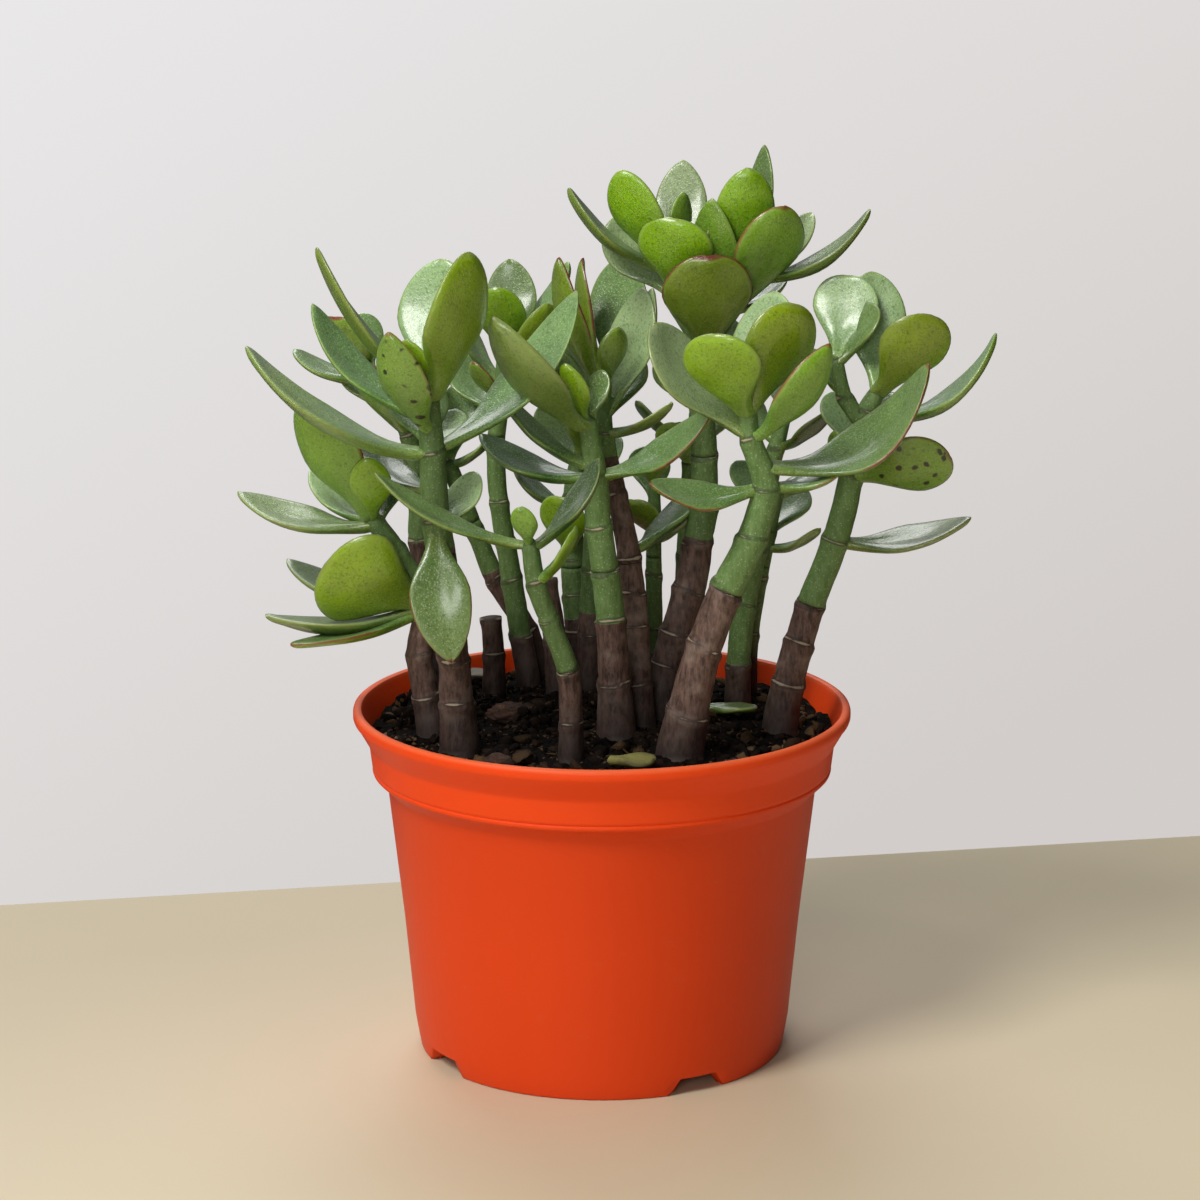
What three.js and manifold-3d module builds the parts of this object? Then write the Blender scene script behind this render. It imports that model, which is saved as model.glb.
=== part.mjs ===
// A potted jade plant: a plastic nursery pot, its soil, the jointed stems that stand in it and their fleshy leaves.
// Millimetres, +Z up. The origin is the middle of the pot's foot, on the surface that the pot stands on.
import * as THREE from "three";
import { mergeVertices } from "three/addons/utils/BufferGeometryUtils.js";
import Module from "manifold-3d";

// ---- Driving dimensions ----
const potHeight = 117; // foot to rim
const rimRadius = 82.5; // outside of the lip
const footRadius = 61; // outside of the wall where it meets the table
const wall = 1.6; // pot wall
const lipHeight = 3.5; // upright edge of the lip
const lipSlant = 7; // height of the slant under the lip
const collarInset = 5.2; // collar band, inside the lip
const collarHeight = 21; // rim to the bottom of the collar band
const stepInset = 5; // wall below the collar, inside the band
const stepHeight = 5; // height of the slant under the collar band
const floorThickness = 2;
const floorRise = 6.5; // height of the raised ring of the floor, where the pot drains
const padRadius = 17; // thick middle of the floor, which stands on the table
const footWidth = 4.5; // flat ring under the wall
const drainHoleRadius = 4.5;
const drainHoleCount = 8;
const drainCircle = 38; // radius of the circle of drain holes
const notchCount = 4; // openings in the foot, for the water to run out
const notchTurn = 31; // degrees from the front to the first notch
const notchWidth = 17;
const notchHeight = 5.5;
const soilDrop = 8; // soil at the wall, below the rim
const soilCrown = 2.5; // how much higher the soil is in the middle
const rooting = 12; // how deep a stem stands in the soil
const plantedRadius = 77; // radius of soil that the planting plan below is drawn for
const leafThickness = 4.6; // of a leaf as wide as leafWidth
const leafWidth = 24;
const stalkShare = 0.27; // a leaf stalk's width, as a share of the blade's
const broadAt = 0.66; // where a blade is broadest, from stalk to tip
const leafCup = 0.16; // how far a blade's edges rise, as a share of its half width
const knuckle = 1.1; // how much thicker a stem is at a joint
const gap = 0.3; // clearance between pieces that touch

const potSegments = 40;
const stemSides = 8;
const leafSides = 6;
const leafRings = 6;

// ---- Planting plan ----
// Stems: each run is a list of [x, y, height above the soil at the wall, radius]; a branch starts inside the run before it.
const stems = {
  left_front: [
    [[-46, -35, 0, 7], [-47, -36, 18, 5.6], [-48, -38, 34, 5.1], [-50, -39, 57, 4.8], [-53, -40, 80, 4.6], [-54, -41, 102, 4.2], [-55, -42, 124, 3]],
  ],
  left_middle: [[[-56, -13, 0, 5.2], [-58, -13, 15, 4.6], [-60, -14, 30, 4.2], [-58, -15, 46, 4], [-67, -17, 64, 3.6], [-75, -19, 76, 3]]],
  left_rear: [[[-55, 40, 0, 4.8], [-58, 40, 26, 4.3], [-62, 40, 55, 3.8], [-62, 39, 69, 3.6], [-65, 38, 92, 3.2], [-71, 36, 103, 2.8], [-77, 34, 114, 2.4]]],
  cut_stub: [[[-37, 40, 0, 4.1], [-37, 40, 15, 3.7], [-38, 40, 28, 3.5]]],
  back_left: [[[-25, 47, 0, 4.2], [-28, 47, 20, 3.8], [-31, 47, 40, 3.6], [-35, 46, 67, 3.3], [-36, 46, 86, 3.1], [-34, 46, 104, 2.8], [-33, 46, 120, 2.3]]],
  back_lean: [[[-21, 61, 0, 4.2], [-26, 61, 18, 3.8], [-37, 60, 37, 3.5], [-44, 58, 55, 3.2], [-53, 54, 80, 2.7]]],
  back_short: [[[-15, 37, 0, 4.2], [-16, 37, 20, 3.9], [-19, 38, 42, 3.6]]],
  back_middle: [[[-9, 57, 0, 4.4], [-9, 57, 20, 4], [-10, 57, 44, 4.2], [-10, 58, 66, 3.4], [-8, 58, 82, 2.6]]],
  small_front: [[[-10, -45, 0, 4.4], [-10, -46, 14, 3.8], [-11, -48, 32, 3.6], [-17, -51, 50, 3.2], [-21, -53, 62, 3.2], [-23, -54, 76, 2.6]]],
  centre_back: [[[-4, 41, 0, 4.6], [-4, 41, 22, 4.2], [-3, 40, 44, 3.9], [-2, 40, 66, 3.5], [0, 40, 90, 3.1], [2, 40, 114, 2.4]]],
  centre_front: [[[5, -18, 0, 7], [4, -18, 21, 5.4], [3, -18, 41, 4.9], [1, -18, 58, 4.5], [-1, -18, 73, 4.2], [-2, -18, 89, 3.8], [-5, -19, 109, 2.9]]],
  dark_lean: [[[13, -5, 0, 5.2], [12, -3, 15, 4.8], [11, 0, 34, 4.6], [9, 2, 58, 3.9], [5, 6, 78, 3.3], [1, 10, 98, 2.9], [1, 12, 116, 2.2]]],
  thin_back: [[[17, 56, 0, 3.4], [18, 56, 20, 3], [18, 55, 40, 2.8], [18, 54, 58, 2.5], [18, 53, 72, 2]]],
  thin_rear: [[[27, 63, 0, 3.2], [28, 61, 30, 2.9], [29, 58, 60, 2.6], [30, 54, 80, 2.4], [29, 52, 92, 2]]],
  tall_centre: [
    [[19, 9, 0, 6.6], [22, 10, 18, 5.7], [29, 11, 44, 5.5], [32, 12, 61, 5], [34, 13, 73, 4.6], [34, 13, 90, 4.4], [33, 13, 108, 4], [34, 14, 128, 3.5]],
    [[34, 14, 126, 3.2], [25, 13, 140, 3], [22, 12, 160, 2.4]],
    [[34, 14, 126, 3.2], [44, 14, 141, 3], [47, 14, 161, 2.4]],
  ],
  right_front: [[[25, -40, 0, 8], [28, -41, 17, 6.6], [33, -42, 38, 5.8], [40, -42, 57, 5.4], [48, -42, 74, 4.9], [52, -42, 91, 4.3], [47, -43, 107, 3.4], [46, -43, 120, 2.6]]],
  right_middle: [[[46, 17, 0, 4.6], [46, 16, 18, 4.1], [48, 16, 38, 3.9], [52, 16, 58, 3.5], [55, 16, 76, 3.2], [58, 16, 92, 2.8], [61, 16, 104, 2.2]]],
  thin_right: [[[50, 43, 0, 3.4], [51, 43, 22, 3], [54, 42, 42, 2.8], [57, 41, 58, 2.6], [60, 40, 73, 2.1]]],
  right_edge: [
    [[59, -9, 0, 6.2], [62, -8, 18, 5.2], [69, -7, 44, 4.7], [77, -6, 66, 4.4], [82, -6, 88, 4], [86, -6, 108, 3.3], [92, -6, 118, 2.4]],
    [[85, -6, 104, 2.8], [79, -6, 113, 2.6], [76, -6, 126, 2.2]],
  ],
};

// Shoots: `from` is the height at which the green shoot begins; each leaf is
// [height on the stem, right, back, up to its tip, width, turn about its length, curl, run].
const shoots = {
  left_front: { from: 68, leaves: [
    [101, -58, -8, 36, 28, -2, 0.12], [102, 46, 28, 47, 21, 10, 0.12], [118, 13, -14, 50, 28, 0, 0.08], [121, 4, 18, 40, 25, 0, 0.08],
    [108, -12, -22, 36, 18, 0, 0.1], [121, -35, 2, 46, 21, 6, 0.08], [112, -38, 14, 35, 18, -4, 0.12], [104, -6, 24, 18, 20, 0, 0.12],
    [79, 5, -15, -43, 20, 16, -0.08], [89, -26, 36, 12, 15, 0, 0.12], [122, -6, -12, 18, 12, 0, 0.06], [122, 4, 10, 16, 11, 0, 0.06],
    [76, 12, 14, 16, 14, 0, 0.1],
  ] },
  left_middle: { from: 42, leaves: [
    [75, -22, -6, 41, 25, 45, 0.08], [73, -46, 8, 9, 22, -4, 0.1], [74, -22, 30, 13, 16, 0, 0.1], [73, 4, 22, 22, 16, 0, 0.1],
    [75, -1, -13, 23, 14, 0, 0.06], [47, -32, -12, 14, 37, 62, 0.06], [48, -46, 20, 8, 24, 0, 0.12], [45, -52, -6, -2, 26, 6, 0.1],
    [44, -43, -20, -7, 18, 10, 0.06],
  ] },
  left_rear: { from: 78, leaves: [
    [113, -12, -14, 22, 24, 0, 0.06], [112, -28, 8, 8, 18, 0, 0.12], [101, -19, 16, 14, 17, 0, 0.1], [93, -14, -15, 27, 19, 0, 0.08],
    [95, 4, 26, 20, 18, 0, 0.1], [114, -4, 12, 18, 14, 0, 0.08], [84, 14, 24, 12, 18, 0, 0.12],
  ] },
  back_left: { from: 90, leaves: [
    [118, 2, 16, 30, 18, 0, 0.1], [116, 22, 10, 32, 18, 0, 0.1], [117, -2, -14, 26, 17, 0, 0.06], [106, 16, -16, 32, 20, 0, 0.08],
    [103, -9, -10, 14, 11, 0, 0.08], [98, -14, 22, 16, 18, 0, 0.12], [108, -16, 6, 28, 16, 0, 0.1],
  ] },
  back_lean: { from: 58, leaves: [
    [78, 14, -2, 10, 12, 0, 0.1], [79, -14, 18, 20, 18, 0, 0.1], [79, 5, 14, 26, 16, 0, 0.1], [66, -16, -8, 14, 15, 0, 0.1],
  ] },
  back_middle: { from: 42, leaves: [
    [46, -4, -12, 23, 18, 0, 0.06], [80, 4, -8, 22, 15, 0, 0.06], [78, -10, 16, 18, 18, 0, 0.1], [70, 14, 12, 16, 18, 0, 0.1],
    [62, -20, 6, 14, 16, 0, 0.1],
  ] },
  small_front: { from: 32, leaves: [
    [74, -49, -2, 24, 12, -12, 0.1], [73, 22, 6, 28, 17, 0, 0.1], [62, 12, -10, 19, 17, 20, 0.08], [74, -3, -7, 14, 9, 0, 0.06],
  ] },
  centre_back: { from: 92, leaves: [
    [108, -8, -2, 44, 18, 0, 0.08], [112, 5, 14, 38, 22, 0, 0.08], [104, 16, 10, 36, 18, 0, 0.1], [100, -14, 10, 20, 15, 0, 0.1],
    [98, 7, 26, 20, 20, 0, 0.12],
  ] },
  centre_front: { from: 58, leaves: [
    [105, -30, -28, 41, 23, 14, 0.1], [107, -7, -10, 21, 12, 0, 0.06], [107, 5, 7, 16, 10, 0, 0.06], [89, -38, 10, 12, 21, 0, 0.12],
    [92, -30, 4, 24, 18, 0, 0.1], [89, 38, -8, 24, 19, 26, 0.12], [106, -10, 16, 22, 15, 0, 0.1],
  ] },
  dark_lean: { from: 56, leaves: [
    [104, 13, 14, 40, 23, 0, 0.1], [112, -15, -12, 46, 16, 0, 0.1], [98, 22, -12, 12, 15, 0, 0.1], [114, 4, -6, 20, 12, 0, 0.06], [60, 22, 26, 16, 20, -25, 0.1],
  ] },
  thin_back: { from: 46, leaves: [
    [52, 13, -14, 16, 15, 0, 0.08], [70, 0, -6, 16, 12, 0, 0.06], [55, -7, -14, 14, 14, 0, 0.08], [66, -3, 14, 16, 15, 0, 0.1],
  ] },
  thin_rear: { from: 64, leaves: [
    [88, -17, -8, 14, 16, 0, 0.12], [80, -5, -16, 16, 17, 0, 0.08], [90, 8, -8, 16, 14, 0, 0.08], [84, 12, 10, 16, 16, 0, 0.1],
  ] },
  tall_centre: { from: 90, leaves: [
    [152, -34, -2, 27, 21, 0, 0.12, 1], [153, -17, -12, 33, 21, 14, 0.08, 1], [152, 4, 16, 34, 18, 0, 0.08, 1], [143, -21, 12, 24, 21, -42, 0.1, 1],
    [144, -1, -16, 27, 25, 0, 0.08, 1], [156, 4, -4, 22, 12, 0, 0.06, 1], [146, 16, -4, 30, 17, 0, 0.1, 1],
    [140, -8, -14, 37, 17, 0, 0.08, 2], [152, 1, -14, 35, 20, 0, 0.08, 2], [155, 7, 6, 37, 14, 0, 0.06, 2], [139, 16, -17, 36, 25, -10, 0.08, 2],
    [148, 24, 10, 21, 18, 0, 0.12, 2], [149, 42, -4, 23, 20, 0, 0.16, 2], [138, 18, 14, 10, 15, 0, 0.1, 2], [152, -4, 22, 16, 17, 0, 0.1, 2],
    [124, 0, -24, 36, 30, 0, 0.06], [116, 8, 26, 16, 20, 0, 0.12], [106, -10, 22, 16, 18, 0, 0.12],
  ] },
  right_front: { from: 57, leaves: [
    [108, -31, 6, 34, 27, -28, 0.08], [106, 24, -12, 33, 18, -24, 0.12], [114, -12, -18, 29, 26, 16, 0.06], [115, 14, -8, 36, 26, -32, 0.06],
    [114, 9, 16, 37, 23, 0, 0.08], [118, 1, 6, 16, 10, 0, 0.06], [91, -37, -12, 3, 17, -20, 0.12], [91, 27, 12, 8, 18, 0, 0.14], [97, 53, 2, 33, 28, 22, 0.24],
  ] },
  right_middle: { from: 78, leaves: [
    [92, 16, -12, 14, 14, 0, 0.1], [102, 5, 24, 16, 18, 0, 0.1], [94, -14, 14, 18, 16, 0, 0.1],
    [103, 10, -6, 14, 10, 0, 0.06],
  ] },
  thin_right: { from: 46, leaves: [
    [70, 11, 8, 6, 12, 0, 0.08], [58, 10, 20, 12, 17, 0, 0.1], [66, -12, 12, 14, 16, 0, 0.1], [52, 18, -6, 8, 14, 0, 0.12],
  ] },
  right_edge: { from: 44, leaves: [
    [124, 12, 4, 19, 18, 0, 0.06, 1], [125, 4, 13, 26, 22, 0, 0.06, 1], [114, -10, 4, 14, 11, 0, 0.06, 1],
    [115, -2, 14, 37, 22, 0, 0.08], [114, 17, -14, 28, 24, -35, 0.08], [106, 42, -6, 29, 21, 0, 0.2], [87, 31, -13, 9, 25, -55, 0.08],
    [65, 44, -6, 9, 21, 14, 0.12], [96, -8, 14, 16, 14, 0, 0.1], [98, 14, 24, 12, 20, 0, 0.12], [88, -6, -12, 16, 11, 0, 0.08],
  ] },
};

// Leaves that have dropped on the soil: [x, y, tip x, tip y, width].
const fallen = { green: [33, 4, 52, 3, 14], yellow: [2, -56, 17, -60, 13], grey: [-49, 48, -40, 59, 9] };
// Lumps of bark on the soil: [x, y, length, turn].
const bark = { left: [-31, 4, 15, 20], front: [-33, -52, 12, -35], right: [42, -58, 13, 60] };

// ---- Colours ----
const look = {
  pot: { color: 0xd8481f, roughness: 0.5, metalness: 0 },
  soil: { color: 0x2a201a, roughness: 0.95, metalness: 0 },
  bark: { color: 0x5a3d2a, roughness: 0.9, metalness: 0 },
  stem: { color: 0x77654f, roughness: 0.75, metalness: 0 },
  leaf: { color: 0x6f9a3c, roughness: 0.4, metalness: 0 },
  leafGreen: { color: 0x6d8c35, roughness: 0.45, metalness: 0 },
  leafYellow: { color: 0xb9a24c, roughness: 0.6, metalness: 0 },
  leafGrey: { color: 0x8b8272, roughness: 0.8, metalness: 0 },
};

// ---- Solids ----
const { Manifold, Mesh } = await Module().then((module) => (module.setup(), module));

function solid(geometry) {
  const bare = geometry.index ? geometry : mergeVertices(geometry);
  for (const name of Object.keys(bare.attributes)) if (name !== "position") bare.deleteAttribute(name);
  const merged = mergeVertices(bare, 1e-4);
  return new Manifold(new Mesh({
    numProp: 3, vertProperties: Float32Array.from(merged.attributes.position.array), triVerts: Uint32Array.from(merged.index.array),
  }));
}

function meshed(name, body, material) {
  const mesh = body.getMesh();
  const geometry = new THREE.BufferGeometry();
  geometry.setAttribute("position", new THREE.BufferAttribute(Float32Array.from(mesh.vertProperties), 3));
  geometry.setIndex(Array.from(mesh.triVerts));
  geometry.computeVertexNormals();
  const part = new THREE.Mesh(geometry, new THREE.MeshStandardMaterial(material));
  part.name = name;
  return part;
}

function turned(outline) {
  const points = outline.map(([r, z]) => new THREE.Vector2(r, z));
  points.push(points[0].clone());
  return solid(new THREE.LatheGeometry(points, potSegments).rotateX(Math.PI / 2));
}

// ---- Pot ----
const collarRadius = rimRadius - collarInset;
const stepTop = potHeight - collarHeight;
const stepBottom = stepTop - stepHeight;
const wallTop = collarRadius - 1 - stepInset;
const underLip = potHeight - lipHeight - lipSlant;
const mouth = rimRadius - 3;
const floorTop = floorRise + floorThickness;
const innerFoot = footRadius - wall + (wallTop - footRadius) * (floorTop / stepBottom);

function pot() {
  let body = turned([
    [0, 0], [padRadius, 0], [padRadius + 3.5, floorRise], [footRadius - footWidth - 1, floorRise], [footRadius - footWidth, 0],
    [footRadius - 0.6, 0], [footRadius, 0.6], [wallTop, stepBottom], [collarRadius - 1.2, stepTop - 0.6],
    [collarRadius - 1, stepTop + 0.3], [collarRadius - 1.3, stepTop + 0.9], [collarRadius - 0.9, stepTop + 1.6],
    [collarRadius, underLip - 1.5], [collarRadius + 0.7, underLip], [rimRadius - 0.3, potHeight - lipHeight - 0.2],
    [rimRadius, potHeight - lipHeight + 0.4], [rimRadius - 0.1, potHeight - 0.7], [rimRadius - 0.9, potHeight],
    [mouth + 0.7, potHeight], [mouth, potHeight - 0.8], [mouth - 0.8, potHeight - lipHeight],
    [collarRadius - wall, underLip - 1], [collarRadius - 1 - wall, stepTop], [wallTop - wall, stepBottom],
    [innerFoot, floorTop], [0, floorTop],
  ]);
  for (let i = 0; i < notchCount; i++) {
    const shape = new THREE.Shape();
    shape.moveTo(-notchWidth / 2 - 1, -1);
    shape.lineTo(notchWidth / 2 + 1, -1);
    shape.lineTo(notchWidth / 2 - 1.5, notchHeight);
    shape.lineTo(-notchWidth / 2 + 1.5, notchHeight);
    const notch = new THREE.ExtrudeGeometry(shape, { depth: 3 * footWidth, bevelEnabled: false });
    notch.rotateX(Math.PI / 2).translate(0, -footRadius + 2 * footWidth, 0);
    notch.rotateZ((notchTurn * Math.PI) / 180 + (i * 2 * Math.PI) / notchCount);
    body = body.subtract(solid(notch));
  }
  for (let i = 0; i < drainHoleCount; i++) {
    const hole = new THREE.CylinderGeometry(drainHoleRadius, drainHoleRadius, 4 * floorTop, 10);
    hole.rotateX(Math.PI / 2).translate(drainCircle, 0, 0).rotateZ((i * 2 * Math.PI) / drainHoleCount);
    body = body.subtract(solid(hole));
  }
  return body;
}

// ---- Soil ----
const soilLevel = potHeight - soilDrop;
const soilRadius = mouth - 0.8 - gap - (mouth - 0.8 - collarRadius + wall)
  * ((potHeight - lipHeight - soilLevel) / (potHeight - lipHeight - underLip + 1));
const grown = soilRadius / plantedRadius; // the plant is as large as its pot lets it be
const soilAt = (r) => soilLevel + soilCrown * (1 - (r / soilRadius) ** 2);

function soil() {
  const crown = [];
  for (let i = 0; i <= 4; i++) crown.push([soilRadius * (1 - i / 4), soilAt(soilRadius * (1 - i / 4))]);
  return turned([
    [0, floorTop + gap], [innerFoot - 2 * gap, floorTop + gap], [wallTop - wall - 1.4 * gap, stepBottom],
    [collarRadius - 1 - wall - 1.4 * gap, stepTop], [collarRadius - wall - 1.4 * gap, underLip - 1], ...crown,
  ]);
}

// ---- Stems ----
// A run of stem between two heights; `grow` widens it on every side.
function stemSolid(run, from, to, grow) {
  const points = run.map(([x, y, h]) => new THREE.Vector3(x * grown, y * grown, soilLevel + h * grown));
  const curve = new THREE.CatmullRomCurve3(points, false, "centripetal");
  const first = stemShare(run, from);
  const last = stemShare(run, to);
  const rings = Math.max(2, Math.round((last - first) * (run.length - 1) * 2));
  const tube = new THREE.CylinderGeometry(1, 1, 1, stemSides, rings);
  const place = tube.attributes.position;
  const at = new THREE.Vector3();
  for (let i = 0; i < place.count; i++) {
    const along = place.getY(i) + 0.5;
    const share = first + (last - first) * along;
    const way = curve.getTangent(share);
    const side = new THREE.Vector3(way.z, 0, -way.x).normalize();
    const back = new THREE.Vector3().crossVectors(way, side);
    const radius = stemRadius(run, share) * grown + grow;
    curve.getPoint(share, at).addScaledVector(way, (2 * along - 1) * grow);
    at.addScaledVector(side, -place.getX(i) * radius).addScaledVector(back, place.getZ(i) * radius);
    place.setXYZ(i, at.x, at.y, at.z);
  }
  return solid(tube);
}

// Where along the run (0 to 1) a height is reached.
function stemShare(run, height) {
  for (let i = 1; i < run.length; i++) {
    const [low, high] = [run[i - 1][2], run[i][2]];
    if (height <= high) return (i - 1 + (height - low) / (high - low)) / (run.length - 1);
  }
  return 1;
}

// Joints stand out a little at every point of the run.
function stemRadius(run, share) {
  const place = share * (run.length - 1);
  const i = Math.min(run.length - 2, Math.floor(place));
  const between = place - i;
  const radius = run[i][3] + (run[i + 1][3] - run[i][3]) * between;
  return radius * (1 + (knuckle - 1) * Math.abs(2 * between - 1));
}

function stemPoint(run, height) {
  const points = run.map(([x, y, h]) => new THREE.Vector3(x * grown, y * grown, soilLevel + h * grown));
  return new THREE.CatmullRomCurve3(points, false, "centripetal").getPoint(stemShare(run, height));
}

function rooted(run) {
  const [x, y, , radius] = run[0];
  return [[x, y, -rooting / grown, radius], ...run];
}

// ---- Leaves ----
function bladeWidth(t) {
  if (t > broadAt) return Math.sqrt(Math.max(0, 1 - ((t - broadAt) / (1 - broadAt)) ** 2)) ** 0.85;
  const rise = THREE.MathUtils.smoothstep(t, 0.05, broadAt);
  return (stalkShare + (1 - stalkShare) * rise ** 1.3) * (t === 0 ? 0 : 1);
}

// A leaf from its stalk to its tip, cupped, and curled towards its upper face.
function leafSolid(start, reach, width, turn, curl, grow) {
  const length = reach.length() + 2 * grow;
  const way = reach.clone().normalize();
  const flat = Math.hypot(way.x, way.y);
  const up = new THREE.Vector3((-way.x / flat) * way.z, (-way.y / flat) * way.z, flat);
  up.applyAxisAngle(way, (turn * Math.PI) / 180);
  const side = new THREE.Vector3().crossVectors(way, up);
  const thick = leafThickness * grown * (0.4 + (0.6 * width) / leafWidth);
  const half = (width * grown) / 2 + grow;
  const blade = new THREE.SphereGeometry(1, leafSides, leafRings).rotateZ(-Math.PI / 2);
  const place = blade.attributes.position;
  const at = new THREE.Vector3();
  for (let i = 0; i < place.count; i++) {
    const t = THREE.MathUtils.clamp((place.getX(i) + 1) / 2, 0, 1);
    const round = Math.hypot(place.getY(i), place.getZ(i));
    const across = round > 1e-4 ? place.getZ(i) / round : 0;
    const high = round > 1e-4 ? place.getY(i) / round : 0;
    const wide = bladeWidth(t) * half * (round > 1e-4 ? 1 : 0);
    const deep = (thick / 2) * (1 - 0.45 * t * t) + grow;
    const bow = -4 * curl * length * t * (1 - t) + leafCup * wide * across * across;
    at.copy(start).addScaledVector(way, t * length - grow).addScaledVector(side, across * wide);
    at.addScaledVector(up, bow + high * deep * (round > 1e-4 ? Math.min(1, 3 * round) : 0));
    place.setXYZ(i, at.x, at.y, at.z);
  }
  return solid(blade);
}

function shootSolid(name, grow) {
  const { from, leaves } = shoots[name];
  const runs = stems[name].map((run, i) => (i === 0 ? rooted(run) : run));
  const pieces = runs.map((run, i) => stemSolid(run, i === 0 ? from : run[0][2], run[run.length - 1][2], grow));
  for (const [height, right, back, up, width, turn, curl, run = 0] of leaves) {
    const reach = new THREE.Vector3(right, back, up).multiplyScalar(grown);
    pieces.push(leafSolid(stemPoint(runs[run], height), reach, width, turn, curl, grow));
  }
  return Manifold.union(pieces);
}

// A leaf lying on the soil.
function fallenSolid([x, y, tipX, tipY, width]) {
  const start = new THREE.Vector3(x * grown, y * grown, 0);
  const reach = new THREE.Vector3((tipX - x) * grown, (tipY - y) * grown, 0.5);
  const rest = soilAt(start.length()) + leafThickness * grown * 0.62 + gap;
  return leafSolid(start.setZ(rest), reach, width, 0, 0, 0);
}

function barkSolid([x, y, length, turn]) {
  const lump = new THREE.IcosahedronGeometry(length / 2, 1).scale(1, 0.62, 0.4);
  lump.rotateX(0.2).rotateZ((turn * Math.PI) / 180).scale(grown, grown, grown);
  lump.translate(x * grown, y * grown, soilAt(Math.hypot(x, y) * grown) + length * 0.09 * grown);
  return solid(lump);
}

// ---- Assembly ----
const plant = new THREE.Group();
plant.name = "potted_jade_plant";
const add = (name, body, material) => plant.add(meshed(name, body, material));

const woody = [];
const clear = []; // the same stems and shoots, a clearance wider
for (const [name, runs] of Object.entries(stems)) {
  const shoot = shoots[name];
  const run = rooted(runs[0]);
  const top = shoot ? shoot.from - gap / grown : run[run.length - 1][2];
  woody.push([name, stemSolid(run, -rooting / grown, top, 0)]);
  clear.push(stemSolid(run, -rooting / grown, top, gap));
}
const lumps = Object.entries(bark).map(([name, row]) => [name, barkSolid(row)]);

let ground = soil();
for (const keep of clear) ground = ground.subtract(keep);
for (const [, lump] of lumps) ground = ground.subtract(lump);
add("pot", pot(), look.pot);
add("potting_soil", ground, look.soil);
for (const [name, lump] of lumps) add(`bark_${name}`, lump, look.bark);
add("fallen_leaf_green", fallenSolid(fallen.green), look.leafGreen);
add("fallen_leaf_yellow", fallenSolid(fallen.yellow), look.leafYellow);
add("fallen_leaf_grey", fallenSolid(fallen.grey), look.leafGrey);
for (const [name, body] of woody) add(`stem_${name}`, body, look.stem);

// Where a shoot meets a stem or an earlier shoot, it gives way by the clearance.
for (const name of Object.keys(shoots)) {
  let body = shootSolid(name, 0);
  for (const keep of clear) body = body.subtract(keep);
  clear.push(shootSolid(name, gap));
  add(`shoot_${name}`, body, look.leaf);
}

export default plant;
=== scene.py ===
import math
import random

import bmesh
import bpy
from mathutils import Matrix, Quaternion, Vector, noise


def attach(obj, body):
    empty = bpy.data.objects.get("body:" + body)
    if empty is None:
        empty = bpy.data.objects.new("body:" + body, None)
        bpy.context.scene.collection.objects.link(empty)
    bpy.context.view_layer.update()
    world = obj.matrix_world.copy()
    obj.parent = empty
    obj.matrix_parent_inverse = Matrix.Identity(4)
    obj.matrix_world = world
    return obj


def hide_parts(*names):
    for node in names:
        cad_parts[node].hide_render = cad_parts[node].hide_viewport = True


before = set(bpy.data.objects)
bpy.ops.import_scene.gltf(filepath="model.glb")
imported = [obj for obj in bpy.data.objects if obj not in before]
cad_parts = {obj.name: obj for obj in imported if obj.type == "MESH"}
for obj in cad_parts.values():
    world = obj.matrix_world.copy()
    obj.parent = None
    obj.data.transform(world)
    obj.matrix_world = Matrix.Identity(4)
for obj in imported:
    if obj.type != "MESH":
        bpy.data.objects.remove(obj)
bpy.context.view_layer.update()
print("frame loaded:", len(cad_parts), "nodes")

mm = 0.001


def linearColour(hexCode):
    # sRGB hex to the linear colour that shaders want
    code = hexCode.lstrip("#")
    parts = [int(code[i:i + 2], 16) / 255 for i in (0, 2, 4)]
    return (*[p / 12.92 if p <= 0.04045 else ((p + 0.055) / 1.055) ** 2.4 for p in parts], 1.0)


def addNode(tree, kind, settings=None, links=None):
    # a node with its settings, by property name or socket, and what feeds its sockets
    node = tree.nodes.new(kind)
    for key, value in (settings or {}).items():
        if isinstance(key, str) and key in node.bl_rna.properties:
            setattr(node, key, value)
        else:
            node.inputs[key].default_value = value
    for key, source in (links or {}).items():
        tree.links.new(source, node.inputs[key])
    return node


def newMaterial(name, shader):
    # an empty material with its Principled shader, whose plain values are set on the sockets
    material = bpy.data.materials.new(name)
    material.use_nodes = True
    tree = material.node_tree
    tree.nodes.clear()
    surface = addNode(tree, "ShaderNodeBsdfPrincipled", shader)
    addNode(tree, "ShaderNodeOutputMaterial", links={"Surface": surface.outputs["BSDF"]})
    return material, tree, surface


def finishPiece(name, bm, materials, node, sharpAngle=None):
    # a bmesh in millimetres becomes a piece that stands for its CAD node
    bmesh.ops.scale(bm, vec=(mm, mm, mm), verts=bm.verts)
    for face in bm.faces:
        face.smooth = True
    mesh = bpy.data.meshes.new(name)
    bm.to_mesh(mesh)
    bm.free()
    if sharpAngle:
        mesh.set_sharp_from_angle(angle=math.radians(sharpAngle))
    for material in materials:
        mesh.materials.append(material)
    piece = bpy.data.objects.new(name, mesh)
    bpy.context.scene.collection.objects.link(piece)
    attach(piece, "root")
    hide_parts(node)
    return piece


def smoothStep(low, high, value):
    share = min(1.0, max(0.0, (value - low) / (high - low)))
    return share * share * (3 - 2 * share)


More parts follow.
